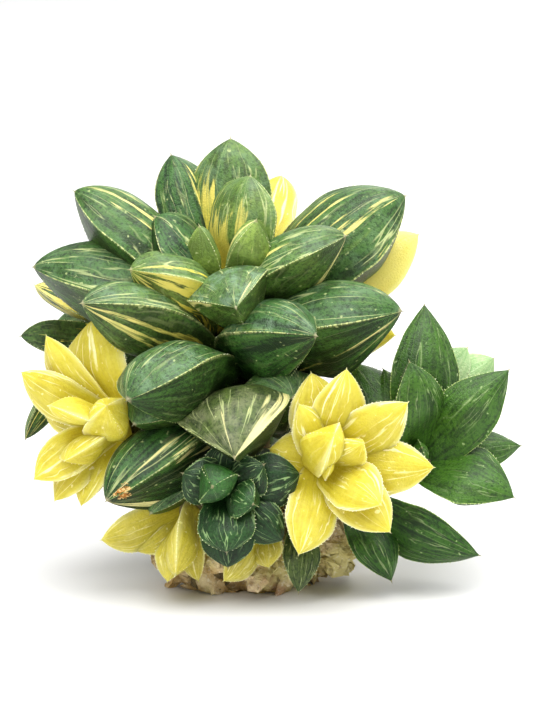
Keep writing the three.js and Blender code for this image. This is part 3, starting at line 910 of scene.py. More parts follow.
# %% The green
def leaf_green(leaf, tint, bloom_and_sheen, specks):
    finish = leaf.finish
    lengthwise = leaf.patches * 0.4 + leaf.fine * 0.5 + leaf.streaks(43, 7, 1.1) * 0.55
    ground = lengthwise + leaf.cloud * 0.25 + leaf.grain * 0.3 - 0.08 * leaf.back
    green = finish.mix(tint["deep"], tint["mid"], ground.step(0.82, 1.1))
    clear = leaf.cloud.step(0.4, 0.66) * (0.35 + 0.65 * leaf.grain.step(0.35, 0.6))
    green = finish.mix(green, tint["light"], leaf.tone * (0.35 + 0.65 * clear))
    # Painted sheen: the window's bloom, growing towards the tip, is a lighter grey-green that is
    # partly the real bloom and partly the overhead lamp's reflection painted in.
    bloom_and_sheen_patches = finish.noise(leaf.place, scale=330, detail=4).step(0.42, 0.66)
    bloom_and_sheen_share = leaf.window * leaf.frost * leaf.along.step(0.3, 0.7) * (0.15 + 0.5 * bloom_and_sheen_patches)
    green = finish.mix(green, tint["bloom_and_sheen"], bloom_and_sheen_share * bloom_and_sheen)
    lines = leaf.fine.step(0.58, 0.72) * (0.12 + 0.2 * leaf.window) * leaf.along.step(1, 0.8)
    green = finish.mix(green, tint["light"], lines)
    dark = leaf.grain.step(0.5, 0.34) * (0.55 - 0.4 * leaf.tone) * specks
    return finish.mix(green, tint["deep"], dark)


print("green runs from", PALETTES["green"]["deep"], "to", PALETTES["green"]["light"])

# %% [markdown]
# ### The veins
# Pale veins wander and link up, a few straighter ribs run to the tip, and fine threads lie
# between them. Curves could be drawn on each leaf. A level line of a noise wanders and links up
# in the same way and costs nothing, and a repeating sum of across gives the ribs.


# %% The veins
VEIN_SIDES = (0.022, 0.006)  # how far from its level line a vein starts to show, and is full
RIB_SIDES = (0.09, 0.02)


def leaf_veins(leaf, density, run, rib_count):
    """How strongly the wandering veins, the ribs and the threads show at a point."""
    rambling = leaf.streaks(83, density, run, 2)
    broken = leaf.streaks(11, 5, 4).step(0.44, 0.58)
    veins = abs(rambling - 0.5).step(*VEIN_SIDES) * broken * leaf.along.step(0.3, 0.6)
    wander = leaf.streaks(7, 1.6, 3)
    waves = (leaf.across * rib_count + wander * 2.2).fraction()
    ribs = abs(waves - 0.5).step(*RIB_SIDES)
    uneven = leaf.finish.vector(leaf.across * 3, leaf.along * 2, leaf.seed)
    kept = leaf.finish.noise(uneven, detail=2).step(0.46, 0.6)
    ribs = ribs * leaf.along.step(0.25, 0.6) * leaf.along.step(1, 0.92) * kept
    threads = leaf.thread.step(0.63, 0.7) * leaf.along.step(0.15, 0.6)
    return veins, ribs, threads * leaf.along.step(1, 0.88) * broken


print("veins start", VEIN_SIDES[0], "and ribs", RIB_SIDES[0], "from their level lines")

# %% [markdown]
# ### The cream
# Where a cell line has lost its green, a cream stripe runs on to the tip. Its sides are jagged,
# and a wide one is slit by threads of green. The bold stripes are listed and reach the
# finish as an attribute, above 0 inside. The noises then tear their sides. The rest is left to
# chance: it shows where the noises are high, and more on a leaf whose trait says so.


# %% The cream
def cream_share(leaf):
    jagged = (leaf.fine - 0.5) * 1.9 + (leaf.patches - 0.5) * 1.1 + (leaf.thread - 0.5) * 0.7
    threaded = 0.5 * leaf.thread.step(0.56, 0.62) + 0.9 * leaf.fine.step(0.5, 0.43)
    laid = (leaf.stripe + jagged).step(-0.1, 0.14)
    laid = laid * (1 - threaded * leaf.stripe.step(0.75, 0.3))
    slits = (leaf.fine * 0.75 + leaf.thread * 0.25).step(0.52, 0.485)
    laid = laid * (1 - 0.95 * slits * leaf.stripe.step(1.1, 1.6))
    chance = leaf.streaks(0, 2.4, 1.4) * 0.3 + leaf.fine * 0.95 + leaf.cream * 0.4
    natural = (chance - leaf.along * 0.12).step(0.83, 0.87)
    return laid.math("MAXIMUM", natural)


def with_cream(leaf, tint, green):
    finish = leaf.finish
    warmth = leaf.warmth + (0.55 - leaf.along) * 0.7  # warmer towards the foot
    cream = finish.mix(tint["cream"], tint["warm"], warmth)
    cream = finish.mix(cream, tint["light"], leaf.cloud.step(0.5, 0.7) * 0.3)
    return finish.mix(green, cream, cream_share(leaf))


print("cream runs from", PALETTES["green"]["cream"], "to", PALETTES["green"]["warm"])

# %% [markdown]
# ### Edges, tip and scorch
# The margins and the keel are beaded with pale cells, the tip is dry, and one old leaf has a
# scorched spot. They are thin enough to be colour alone: the teeth that break the outline are
# real, and come further down.

# %% Edges, tip and scorch
SCORCH = colour("b7701f")
DEAD_CELLS = colour("dfcf8e")


def with_edges(leaf, tint, skin, rim):
    finish = leaf.finish
    bead_place = finish.vector(leaf.seed, leaf.along * 70, leaf.across)
    beads = finish.noise(bead_place, detail=1).step(0.42, 0.6)
    margin = leaf.off_middle.step(0.97, 0.99) * leaf.along.step(0.15, 0.4)
    margin = margin * (0.25 + 0.75 * beads) * (0.5 + 0.5 * leaf.window)
    keel = leaf.off_middle.step(0.03, 0.01) * leaf.back * leaf.along.step(0.45, 0.8) * beads
    skin = finish.mix(skin, tint["margin"], margin + keel * 0.45)
    # On yellow, lime and pale leaves a band along each side is paler: partly pale tissue, partly a
    # painted glow of light shining through the thin edges.
    skin = finish.mix(skin, tint["margin"], leaf.off_middle.step(0.78, 1) * rim)
    return finish.mix(skin, tint["tip"], leaf.along.step(0.988, 0.998) * 0.45)


def with_scorch(leaf, skin):
    ragged = (leaf.grain - 0.5) * 1.2 + (leaf.cloud - 0.5) * 1.5
    scorched = (leaf.scar + ragged).step(0.35, 0.6)
    skin = leaf.finish.mix(skin, SCORCH, scorched * 0.85)
    return leaf.finish.mix(skin, DEAD_CELLS, scorched * leaf.grain.step(0.5, 0.6) * 0.6)


print("the scorched spot is", SCAR_HALF_LENGTH * 2, "of a leaf's length")

# %% [markdown]
# ### The whole finish
# The layers go on in the order in which they lie on the leaf, and the same noises raise a low
# relief of cells and veins. A yellow leaf lets light through, so it gets some subsurface
# scattering and a faint painted glow, an emission of its own colour that lifts its shaded
# creases. Green tissue soaks the light up, and needs neither.

# %% The leaf finishes
WAXY = {"Specular_IOR_Level": 0.3}
TRANSLUCENT_WITH_PAINTED_GLOW = {
    "Subsurface_Weight": 0.6,
    "Subsurface_Radius": (1, 0.9, 0.35),
    "Subsurface_Scale": 0.005,
    "Emission_Strength": 0.13,  # a painted glow, for the light that seeps through a leaf without green and to lift its shaded creases
}
# net: how dense and how drawn out the wandering veins are, and how many ribs there are.
# lines: how strong the veins, the ribs and the threads are. The window's bloom: how strongly it
# shows, and with it the painted sheen. rim: how pale the sides are, partly pale tissue and partly
# a painted glow of light through the thin edges. specks: how much of the dark grain shows.
LOOKS = {
    "variegated": {"net": (3.6, 1.6, 2.5), "lines": (0.7, 0.22, 0.3), "bloom_and_sheen": 0.6},
    "olive": {"net": (3.6, 1.6, 2.5), "lines": (0.7, 0.22, 0.3), "bloom_and_sheen": 0.6},
    "green": {"net": (3.6, 1.6, 3), "lines": (0.35, 0.15, 0.1), "bloom_and_sheen": 0.4},
    "dark": {"net": (2.6, 1.8, 2.5), "lines": (0.6, 0.25, 0.05), "bloom_and_sheen": 0.4},
    "pale": {"net": (3.6, 1.6, 3), "lines": (0.7, 0.4, 0.3), "bloom_and_sheen": 0.4, "rim": 0.2},
    "yellow": {"net": (2.2, 0.5, 2.5), "lines": (0.7, 0.6, 0.15), "bloom_and_sheen": 0.5, "rim": 0.4},
    "lime": {"net": (2.2, 0.5, 2.5), "lines": (0.7, 0.5, 0.2), "bloom_and_sheen": 0.5, "rim": 0.4},
}
LOOKS["pale"]["specks"] = LOOKS["lime"]["specks"] = 0.3
LOOKS["yellow"]["specks"] = 0
WITHOUT_GREEN = ("yellow", "lime")


def leaf_finish(name, net, lines, bloom_and_sheen, rim=0, specks=1):
    uniform = {**WAXY, **(TRANSLUCENT_WITH_PAINTED_GLOW if name in WITHOUT_GREEN else {})}
    finish = Finish(f"{name}_leaf", **uniform)
    tint = {part: colour(code) for part, code in PALETTES[name].items()}
    leaf = LeafMap(finish)
    green = leaf_green(leaf, tint, bloom_and_sheen, specks)
    veins, ribs, threads = leaf_veins(leaf, *net)
    drawn = veins * lines[0] + ribs * lines[1] + threads * lines[2]
    green = finish.mix(green, tint["vein"], drawn * (0.2 + 0.8 * leaf.window))
    flecks = finish.noise(leaf.place, scale=750, detail=1).step(0.72, 0.78)
    green = finish.mix(green, tint["vein"], flecks * 0.55)
    skin = with_edges(leaf, tint, with_cream(leaf, tint, green), rim)
    skin = with_scorch(leaf, skin)
    finish.set("Base Color", skin)
    # Yellow and lime leaves glow faintly in their own colour: painted light.
    if name in WITHOUT_GREEN:
        finish.set("Emission Color", skin)
    finish.set("Roughness", 0.34 + 0.14 * leaf.grain + 0.06 * leaf.fine)
    cells = finish.cracks(leaf.place, scale=1500).step(0, 0.25)
    relief = cells * 0.4 + leaf.grain * 0.5 + (veins + ribs) * 0.5
    finish.bump(relief + leaf.fine * 0.7 + leaf.cloud * 0.8, 0.4, 0.0003)
    return finish.material


leaf_finishes = {name: leaf_finish(name, **looks) for name, looks in LOOKS.items()}
print("leaf finishes:", [finish.name for finish in leaf_finishes.values()])

# %% [markdown]
# ## The large rosette's leaves
# Each leaf of the large rosette is its own piece, as each is its own solid. A leaf's character
# is four numbers: how much cream it has, how warm that cream is, how light its green is and how
# much bloom its window has, with a painted sheen on top. A few stripes are listed where the real
# leaf has a bold one.
# The rest is left to the noise in the finish, which each leaf's seed shifts. Every leaf could
# have a finish of its own instead, but thirty-five graphs would say the same thing.

# %% Characters of the large rosette's leaves
CHARACTERS = {  # cream, warmth, tone, and how much bloom with painted sheen the window has
    "heart_left": (0, 0.6, 1.3, 0.5),
    "heart_right": (0.25, 0.6, 1.15, 0.5),
    "centre_low": (0, 0.5, 0.4, 2),
    "centre_left": (0.1, 1, 0.6, 0.7),
    "centre_top": (0.1, 0.8, 0.85, 0.8),
    "centre_right": (0.1, 0.6, 0.35, 0.8),
    "upper_left": (0.1, 0.8, 0, 0.4),
    "low_right": (0, 0.5, 0, 1.15),
    "mid_left": (0.1, 0.8, 0.3, 1.2),
    "low_left": (0, 0.4, 0.1, 1.2),
    "low_front": (0.05, 0.3, 0.15, 1.1),
    "high_left": (0.1, 0.6, 0.15, 0.4),
    "far_left": (0.3, 0.6, 0.1, 0.7),
    "top": (0.15, 0.9, 0.42, 0.9),
    "top_left": (0.1, 0.8, 0, 0.4),
    "high_right": (0.15, 0.7, 0.12, 0.6),
    "far_right": (0.2, 0.6, 0.06, 0.7),
    "bottom_left": (0.34, 0.45, 0, 0.25),
    "yellow_high": (0.1, 0.4, 0.4, 1),
    # yellow_right has much cream and a light tone so that it stays pale under the shade of
    # high_right: its own paler yellow, with painted light on top.
    "yellow_right": (1.8, 0.7, 1, 0.5),
    "yellow_low": (0.1, 0.4, 0.6, 0.7),
}
PLAIN_CHARACTER = (0.2, 0.6, 0.2, 0.8)
print("leaves with a character of their own:", len(CHARACTERS))

# %% Stripes listed one by one
STRIPES = {  # side, middle across, half width, from and to along
    "high_right": [
        ("window", 0.33, 0.05, 0.3, 0.86),
        ("window", -0.58, 0.04, -0.2, 0.7),
        ("window", -0.33, 0.04, -0.2, 0.68),
        ("window", 0.1, 0.01, 0.55, 1.02),
        ("window", 0.96, 0.02, 0, 1.3),
    ],
    "low_front": [
        ("window", -0.88, 0.22, 0.58, 1.6),
        ("window", -0.45, 0, 0.3, 1.3),
        ("window", 0.18, 0, 0.3, 1.3),
    ],
    "centre_left": [("back", -0.6, 0.7, -1, 2), ("window", -0.75, 0.03, -0.2, 1.1)],
    "mid_left": [
        ("back", -0.76, 0.03, -0.2, 1.3),
        ("back", -0.55, 0.07, -0.2, 1.3),
        ("window", -0.7, 0, -0.2, 0.9),
    ],
    "centre_right": [("back", 0.24, 0.05, -0.2, 1.4), ("window", 0.5, 0, -0.2, 0.8)],
    "bottom_left": [
        ("back", -0.3, 0.08, -0.2, 1.3),
        ("window", 0.4, 0.06, -0.2, 0.9),
        ("window", 0.05, 0.02, -0.2, 0.95),
        ("window", -0.75, 0.02, 0.3, 1.1),
    ],
    "top": [("window", -0.65, 0.34, -0.2, 0.72), ("window", 0.15, 0.06, -0.2, 0.68)],
    "centre_top": [("window", -0.4, 0.4, -0.2, 0.66), ("window", 0.25, 0.1, -0.2, 0.7)],
    "top_left": [("window", 0.3, 0.12, -0.2, 0.8)],
    "upper_left": [("window", 0.1, 0.5, -0.2, 0.52)],
    "high_left": [
        ("window", -0.1, 0.05, -0.2, 0.84),
        ("window", -0.36, 0.03, -0.2, 0.66),
        ("window", 0.2, 0.03, -0.2, 0.74),
    ],
    "heart_right": [("window", 0.6, 0.08, -0.2, 1.1)],
    "far_right": [
        ("back", 0.8, 0, -0.2, 1.3),
        ("back", 0.55, 0.02, -0.2, 1.2),
        ("back", 0.3, 0, -0.2, 1.2),
    ],
    "centre_low": [("back", 0.95, 0.08, -0.2, 0.75), ("window", -0.85, 0, 0.2, 0.9)],
}
print("stripes laid by hand:", sum(len(stripes) for stripes in STRIPES.values()))

# %% Make the large rosette's leaves
TOWARDS_THE_VIEWER = ("centre_low", "low_right", "low_front")  # their straighter edges show
DULLED = "low_front"  # an old leaf whose green has turned olive
made_leaves = []  # every leaf with the kind of its teeth


def replace_node(piece, node):
    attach(piece, "root")
    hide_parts(node)


for number, (place, row) in enumerate(MAIN_LEAVES.items()):
    shape = "pointed" if place in TOWARDS_THE_VIEWER else "broad"
    leaf = row_leaf(row, main_heart, main_axis, shape)
    is_yellow = place.startswith("yellow")
    kind = "yellow" if is_yellow else "olive" if place == DULLED else "variegated"
    character = CHARACTERS.get(place, PLAIN_CHARACTER)
    skin = Skin()
    seed = SEED_STEP * (number + 1)
    add_leaf(skin, leaf, seed, character, STRIPES.get(place, []), FINE_STATIONS, FINE_HALF)
    piece = skin.build(f"leaf_{place}", [leaf_finishes[kind]])
    replace_node(piece, f"main_leaf_{place}")
    made_leaves.append((leaf, "yellow" if is_yellow else "green"))
print("leaves of the large rosette:", len(MAIN_LEAVES))

# %% [markdown]
# ## Stems and the smaller rosettes
# A smaller rosette is one piece: its leaves and the short stem that carries them, as on the
# plant, where a side shoot pulls off whole. Stems are ringed with the scars of shed leaves.

# %% Bark finish
def bark_finish():
    finish = Finish("stem_bark")
    place = finish.place()
    patches = finish.noise(place, scale=160, detail=5)
    fibres = finish.noise(place, scale=900, detail=4, distortion=0.6)
    shade = finish.mix(colour("5d4f33"), colour("a99a6c"), patches.step(0.3, 0.7))
    mossy = finish.noise(place, scale=60).step(0.5, 0.62)
    shade = finish.mix(shade, colour("7d7a48"), mossy * 0.6)
    shade = finish.mix(shade, colour("3d2c1c"), fibres.step(0.48, 0.36) * 0.7)
    finish.set("Base Color", shade)
    finish.set("Roughness", 0.7 + 0.2 * fibres)
    finish.bump(fibres + patches, 0.6, 0.0006)
    return finish.material


stem_bark = bark_finish()
print("bark:", stem_bark.name)


# %% Stems
MAIN_ROOT = (0, 8, 14)
MAIN_RADII = (6.5, 6.5 * 0.45)  # at the foot and at the heart
SHOOT_RADII = (4, 2.8)
STEM_STATIONS = 30
STEM_SIDES = 24


def add_stem(skin, root, heart, axis, radii, slot=0):
    foot_radius, top_radius = radii
    root, heart = np.array(root, float), np.array(heart, float)
    reach = 0.4 * np.linalg.norm(heart - root)
    share = np.linspace(0, 1, STEM_STATIONS)
    centre, along = bezier(root, heart - axis * reach, heart, share)
    side = unit(np.cross(np.array([0, 1, 0]), along))
    other = np.cross(along, side)
    around = np.linspace(0, 2 * np.pi, STEM_SIDES, endpoint=False)
    scars = 1 + 0.05 * np.sin(share * 75)[:, None] * np.sin(around * 3 + share[:, None] * 9)
    radius = (foot_radius + (top_radius - foot_radius) * share)[:, None] * scars
    spokes = side[:, None] * np.cos(around)[:, None] + other[:, None] * np.sin(around)[:, None]
    rings = centre[:, None] + spokes * radius[..., None]
    uv = np.stack(np.broadcast_arrays(around / (2 * np.pi), share[:, None]), axis=-1)
    ends = (root - along[0] * 0.3, heart + along[-1] * top_radius * 0.5)
    skin.add_rings(rings, ends, uv, stripe_field([]), (0.0,) * 5, slot, ())


skin = Skin()
add_stem(skin, MAIN_ROOT, main_heart, main_axis, MAIN_RADII)
stem = skin.build("stem_of_large_rosette", [stem_bark])
replace_node(stem, "main_stem")
print("stem faces:", len(stem.data.polygons))

# %% Smaller rosettes
ROSETTE_FINISHES = {  # the finish, and the character of all its leaves
    "right_yellow": ("yellow", (0.15, 0.3, 0.45, 1)),
    "left_yellow": ("yellow", (0, 0.3, 0.5, 1)),
    "lower_left_yellow": ("lime", (0.15, 0.2, 0.4, 1)),
    "lower_front_yellow": ("lime", (0.15, 0.2, 0.3, 1)),
    "rear_low_yellow": ("yellow", (0.15, 0.3, 0.45, 1)),
    "small_green": ("dark", (0, 0.5, 0, 0.7)),
    "right_green": ("green", (0, 0.6, 0.25, 0.6)),
    "lower_front_green": ("olive", (0.2, 0.9, 0.1, 0.2)),
    "lower_right_green": ("green", (0, 0.6, 0, 0.1)),
    "rear_left_green": ("variegated", (0.45, 0.9, 0.2, 0.7)),
    "right_pale": ("pale", (0.3, 0.5, 0.5, 1)),
    "rear_green": ("green", (0.2, 0.6, 0.2, 0.7)),
}
YELLOW_AMONG_GREEN = ("rear_left_green", 3)  # one leaf that is nearly all yellow
ITS_CREAM = 0.82
SMALL_STATIONS = 24
SMALL_HALF = 8
FIRST_SEED, ROSETTE_SEED_STEP, LEAF_SEED_STEP = 200, 23, 1.9
HEART_PALENESS = 0.6  # how much lighter the youngest leaf is, in the kinds where it shows
PALENESS_LOST = 0.2  # from each leaf to the next older one
PALE_HEARTED = ("dark", "yellow")
slots = {kind: "green_leaf" for kind in leaf_finishes}
slots.update(pale="pale_leaf", yellow="yellow_leaf", lime="yellow_leaf")

for number, (place, offset) in enumerate(OFFSETS.items()):
    kind, (cream, warmth, tone, frost) = ROSETTE_FINISHES[place]
    skin = Skin()
    add_stem(skin, offset["root"], offset["heart"], axis_of(*offset["axis"]), SHOOT_RADII, slot=1)
    for order, leaf in enumerate(rosette_leaves(offset)):
        seed = FIRST_SEED + ROSETTE_SEED_STEP * number + LEAF_SEED_STEP * order
        young = max(0, HEART_PALENESS - PALENESS_LOST * order) if kind in PALE_HEARTED else 0
        own_cream = ITS_CREAM if (place, order) == YELLOW_AMONG_GREEN else cream
        traits = (own_cream, warmth, tone + young, frost)
        add_leaf(skin, leaf, seed, traits, [], SMALL_STATIONS, SMALL_HALF)
        made_leaves.append((leaf, "yellow" if kind in WITHOUT_GREEN else "green"))
    piece = skin.build(f"shoot_{place}", [leaf_finishes[kind], stem_bark])
    replace_node(piece, f"rosette_{place}")
print("small leaves:", len(made_leaves) - len(MAIN_LEAVES))

# %% [markdown]
# ## The withered base
# The clump stands on the stump of its stem, wrapped in the papery remains of old leaves. The
# stump is a lumpy ball, pushed about by a few waves. Old leaves are leaves too, thin and dry,
# drawn with the same rule. A noise then crumples the whole. It could be sculpted, but a rule
# can be changed by its numbers. Smaller flakes are scattered over the stump further down.


# %% Papery finish
def paper_finish():
    finish = Finish("withered_paper")
    place = finish.place()
    blotches = finish.noise(place, scale=150, detail=5, distortion=0.4)
    folds = finish.noise(place, scale=420, detail=4, distortion=1.2)
    fibres = finish.noise(place, scale=1300, detail=3)
    yellowed = finish.noise(place, scale=70).step(0.48, 0.62)
    rusty = finish.noise(place, scale=200).step(0.54, 0.7)
    shade = finish.mix(colour("bd9c62"), colour("f0dfb2"), blotches.step(0.36, 0.62))
    shade = finish.mix(shade, colour("cfc56c"), yellowed * 0.65)
    shade = finish.mix(shade, colour("96644a"), rusty * 0.6)
    shade = finish.mix(shade, colour("6b5030"), folds.step(0.44, 0.3) * 0.6)
    shade = finish.mix(shade, colour("f6eed6"), fibres.step(0.58, 0.7) * 0.5)
    finish.set("Base Color", shade)
    finish.set("Roughness", 0.6 + 0.25 * fibres)
    finish.bump(folds * 1.6 + fibres * 0.6 + blotches, 0.8, 0.0008)
    return finish.material


withered_paper = paper_finish()
print("paper:", withered_paper.name)

# %% Lumps and old leaves
BASE_RADII = np.array([16.5, 14.5, 14.5])
BASE_HEIGHT = 9.5
BALL_BANDS, BALL_SIDES = 34, 56


def lumpy_ball(skin, centre, radii, waves, seed, slot):
    """A closed ball whose radius wavers, cut flat at the table."""
    polar = np.linspace(0, np.pi, BALL_BANDS)[1:-1]
    around = np.linspace(0, 2 * np.pi, BALL_SIDES, endpoint=False)
    p, a = np.meshgrid(polar, around, indexing="ij")
    ball = np.stack([np.sin(p) * np.cos(a), np.sin(p) * np.sin(a), -np.cos(p)], axis=-1)
    lumps = np.sin(ball @ (waves * np.array([1, 0.7, -0.5])) + seed)
    lumps = lumps * np.sin(ball @ (waves * np.array([-0.4, 1, 0.8])) + seed * 2)
    lumps = lumps + 0.5 * np.sin(ball @ (waves * np.array([1.9, -1.5, 1.1])) + seed * 3)
    rings = centre + ball * radii * (0.97 + 0.045 * lumps)[..., None]
    rings[..., 2] = np.maximum(rings[..., 2], 0)
    uv = np.stack([a / (2 * np.pi), p / np.pi], axis=-1)
    low = centre - np.array([0, 0, 1]) * radii[2] * 0.97
    low[2] = max(low[2], 0)
    high = centre + np.array([0, 0, 1]) * radii[2] * 0.97
    traits = (float(seed), 0.0, 0.0, 0.0, 0.0)
    skin.add_rings(rings, (low, high), uv, stripe_field([]), traits, slot, ())


def dead_leaf(index):
    """One of the old leaves round the stump, hanging outwards at its own height."""
    around = index * GOLDEN_ANGLE
    outward = np.array([math.cos(around), math.sin(around), 0])
    belly = math.hypot(BASE_RADII[0] * outward[0], BASE_RADII[1] * outward[1])
    level = 5.5 + 8 * abs(math.sin(index * 1.7))
    reach = belly + 2.5 + 2.5 * abs(math.cos(index * 2.3))
    foot = outward * belly * 0.45 + SKYWARD * level
    tip = outward * reach + SKYWARD * (level - 3.5)
    sizes = {"width": 8 + 2.5 * math.sin(index * 3.1), "thick": 4.5, "bend": 0.3, "roll": 0}
    return {"foot": foot, "tip": tip, "axis": SKYWARD.astype(float), "shape": "slim", **sizes}


print("the stump's ball is", BASE_RADII[0] * 2, "mm wide")

# %% The stump
CRUMPLE_SCALE = 260  # waves to a metre
CRUMPLE_DEPTH = 1.1
CRUMPLE_SEED = 5
PAPER, BARK = 0, 1  # the stump's finishes
LUMPS = (  # place, radii, waves, seed, finish
    ((0, 0, BASE_HEIGHT), BASE_RADII, 5, 1, PAPER),
    ((-9.5, -8.5, 3.4), (4.6, 4.6, 4.6), 7, 4, BARK),  # the old root stub
    ((18.5, -5, 11), (5.5, 5.5, 7), 6, 6, PAPER),
    ((-15.5, -6, 7), (5.5, 5, 6), 5, 5, PAPER),
)
DEAD_LEAVES = 12
DEAD_SEED = 400
DEAD_STATIONS, DEAD_HALF = 18, 6

skin = Skin()
for place, radii, waves, seed, slot in LUMPS:
    lumpy_ball(skin, np.array(place), np.array(radii), waves, seed, slot)
for index in range(DEAD_LEAVES):
    traits = (0.0,) * 4
    leaf = dead_leaf(index)
    add_leaf(skin, leaf, DEAD_SEED + index, traits, [], DEAD_STATIONS, DEAD_HALF, PAPER)
stump = skin.build("withered_stump", [withered_paper, stem_bark])
noise.seed_set(CRUMPLE_SEED)  # without a seed every run would crumple it differently
for corner in stump.data.vertices:
    corner.co += noise.noise_vector(corner.co * CRUMPLE_SCALE) * CRUMPLE_DEPTH * MM
    corner.co.z = max(corner.co.z, 0)
replace_node(stump, "stem_base")
print("stump faces:", len(stump.data.polygons))

# %% [markdown]
# ## Teeth
# Along both margins and the keel stands a row of fine teeth, less than half a millimetre long.
# Modelling thousands by hand is out of the question, and a bump would not break the outline.
# Geometry Nodes place them instead: each margin is a polyline that knows which way its teeth
# point, the tree resamples it at an even spacing, puts a small cone on every point, turns it
# the right way and varies its length. The result is turned into plain mesh.

# %% Margins as polylines
TEETH_END = 0.975  # the tip itself has no teeth
LINE_POINTS = 24
TOOTH_SINK = 0.08  # how deep a tooth sits in the skin


def margin_lines(leaf):
    """The two margins and the keel: points, the way their teeth point, and the teeth's size."""
    lines = []
    for place, start in ((-1, 0.3), (1, 0.3), (0, 0.6)):  # where across, from where along
        share = np.linspace(start, TEETH_END, LINE_POINTS)
        centre, _, across, window = leaf_lines(leaf, share)
        half_width, _, keel = profile_at(share, leaf)
        if place:
            points = centre + across * (place * half_width)[:, None]
            outward = unit(across * place + window * 0.15)
        else:
            points = centre - window * keel[:, None]
            outward = -window
        size = smoothstep(share, start, start + 0.15) * (1 - 0.4 * smoothstep(share, 0.85, 1))
        lines.append((points - outward * TOOTH_SINK, outward, size))
    return lines


def line_object(name, leaves):
    mesh = bpy.data.meshes.new(name)
    lines = [line for leaf in leaves for line in margin_lines(leaf)]
    points = np.concatenate([line[0] for line in lines]) * MM
    edges, start = [], 0
    for line in lines:
        edges += [(start + i, start + i + 1) for i in range(len(line[0]) - 1)]
        start += len(line[0])
    mesh.from_pydata(points.tolist(), edges, [])
    outward = mesh.attributes.new("outward", "FLOAT_VECTOR", "POINT")
    outward.data.foreach_set("vector", np.concatenate([line[1] for line in lines]).ravel())
    size = mesh.attributes.new("size", "FLOAT", "POINT")
    size.data.foreach_set("value", np.concatenate([line[2] for line in lines]))
    piece = bpy.data.objects.new(name, mesh)
    bpy.context.collection.objects.link(piece)
    return piece


print("lines of one leaf:", len(margin_lines(made_leaves[0][0])))


# %% The tree that sets teeth
class Tree:
    """A Geometry Nodes tree under construction."""

    def __init__(self, name, inputs):
        self.group = bpy.data.node_groups.new(name, "GeometryNodeTree")
        face = self.group.interface
        face.new_socket("Geometry", in_out="INPUT", socket_type="NodeSocketGeometry")
        self.ids = {}
        for label, kind in inputs.items():
            made = face.new_socket(label, in_out="INPUT", socket_type=kind)
            self.ids[label] = made.identifier
        face.new_socket("Geometry", in_out="OUTPUT", socket_type="NodeSocketGeometry")
        self.inputs = self.group.nodes.new("NodeGroupInput").outputs
        self.end = self.group.nodes.new("NodeGroupOutput").inputs[0]

    def node(self, kind, settings=None, values=None, output=0):
        made = self.group.nodes.new(kind)
        for setting, value in (settings or {}).items():
            setattr(made, setting, value)
        for socket, value in (values or {}).items():
            if isinstance(value, bpy.types.NodeSocket):
                self.group.links.new(value, made.inputs[socket])
            else:
                made.inputs[socket].default_value = value
        return made.outputs[output]

    def apply(self, piece, **values):
        """Runs the tree on a piece and returns a plain mesh object in its place."""
        modifier = piece.modifiers.new("tree", "NODES")
        modifier.node_group = self.group
        for label, value in values.items():
            modifier[self.ids[label]] = value
        seen = piece.evaluated_get(bpy.context.evaluated_depsgraph_get())
        mesh = bpy.data.meshes.new_from_object(seen)
        piece.modifiers.remove(modifier)
        piece.data = mesh
        return piece


def teeth_tree():
    sizes = {
        "Spacing": "NodeSocketFloat",
        "Tooth length": "NodeSocketFloat",
        "Tooth width": "NodeSocketFloat",
        "Seed": "NodeSocketInt",
        "Finish": "NodeSocketMaterial",
    }
    tree = Tree("margin_teeth", sizes)
    given = tree.inputs
    curve = tree.node("GeometryNodeMeshToCurve", values={"Mesh": given["Geometry"]})
    values = {"Curve": curve, "Length": given["Spacing"]}
    evenly = tree.node("GeometryNodeResampleCurve", {"mode": "LENGTH"}, values)
    values = {"Vertices": 4, "Radius Top": 0.0, "Radius Bottom": given["Tooth width"]}
    values["Depth"] = given["Tooth length"]
    cone = tree.node("GeometryNodeMeshCone", {"fill_type": "NONE"}, values)
    vector = {"data_type": "FLOAT_VECTOR"}
    outward = tree.node("GeometryNodeInputNamedAttribute", vector, {"Name": "outward"})
    turn = tree.node("FunctionNodeAlignRotationToVector", {"axis": "Z"}, {"Vector": outward})
    size = tree.node("GeometryNodeInputNamedAttribute", {"data_type": "FLOAT"}, {"Name": "size"})
    values = {2: 0.6, 3: 1.25, "Seed": given["Seed"]}
    luck = tree.node("FunctionNodeRandomValue", {"data_type": "FLOAT"}, values, 1)
    scale = tree.node("ShaderNodeMath", {"operation": "MULTIPLY"}, {0: size, 1: luck})
    values = {"Points": evenly, "Instance": cone, "Rotation": turn, "Scale": scale}
    teeth = tree.node("GeometryNodeInstanceOnPoints", values=values)
    real = tree.node("GeometryNodeRealizeInstances", values={"Geometry": teeth})
    values = {"Geometry": real, "Material": given["Finish"]}
    done = tree.node("GeometryNodeSetMaterial", values=values)
    tree.group.links.new(done, tree.end)
    return tree


tree = teeth_tree()
print("the tree has", len(tree.group.nodes), "nodes")


# %% Set the teeth
def tooth_finish(name, low, high):
    finish = Finish(name)
    mottle = finish.noise(finish.place(), scale=900)
    finish.set("Base Color", finish.mix(colour(low), colour(high), mottle.step(0.35, 0.65)))
    finish.set("Roughness", 0.4 + 0.2 * mottle)
    return finish.material


def add_teeth(name, leaves, finish, seed):
    teeth = line_object(name, leaves)
    values = {"Spacing": 0.9 * MM, "Tooth length": 0.34 * MM, "Tooth width": 0.11 * MM}
    teeth = tree.apply(teeth, Seed=seed, Finish=finish, **values)
    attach(teeth, "root")
    return teeth


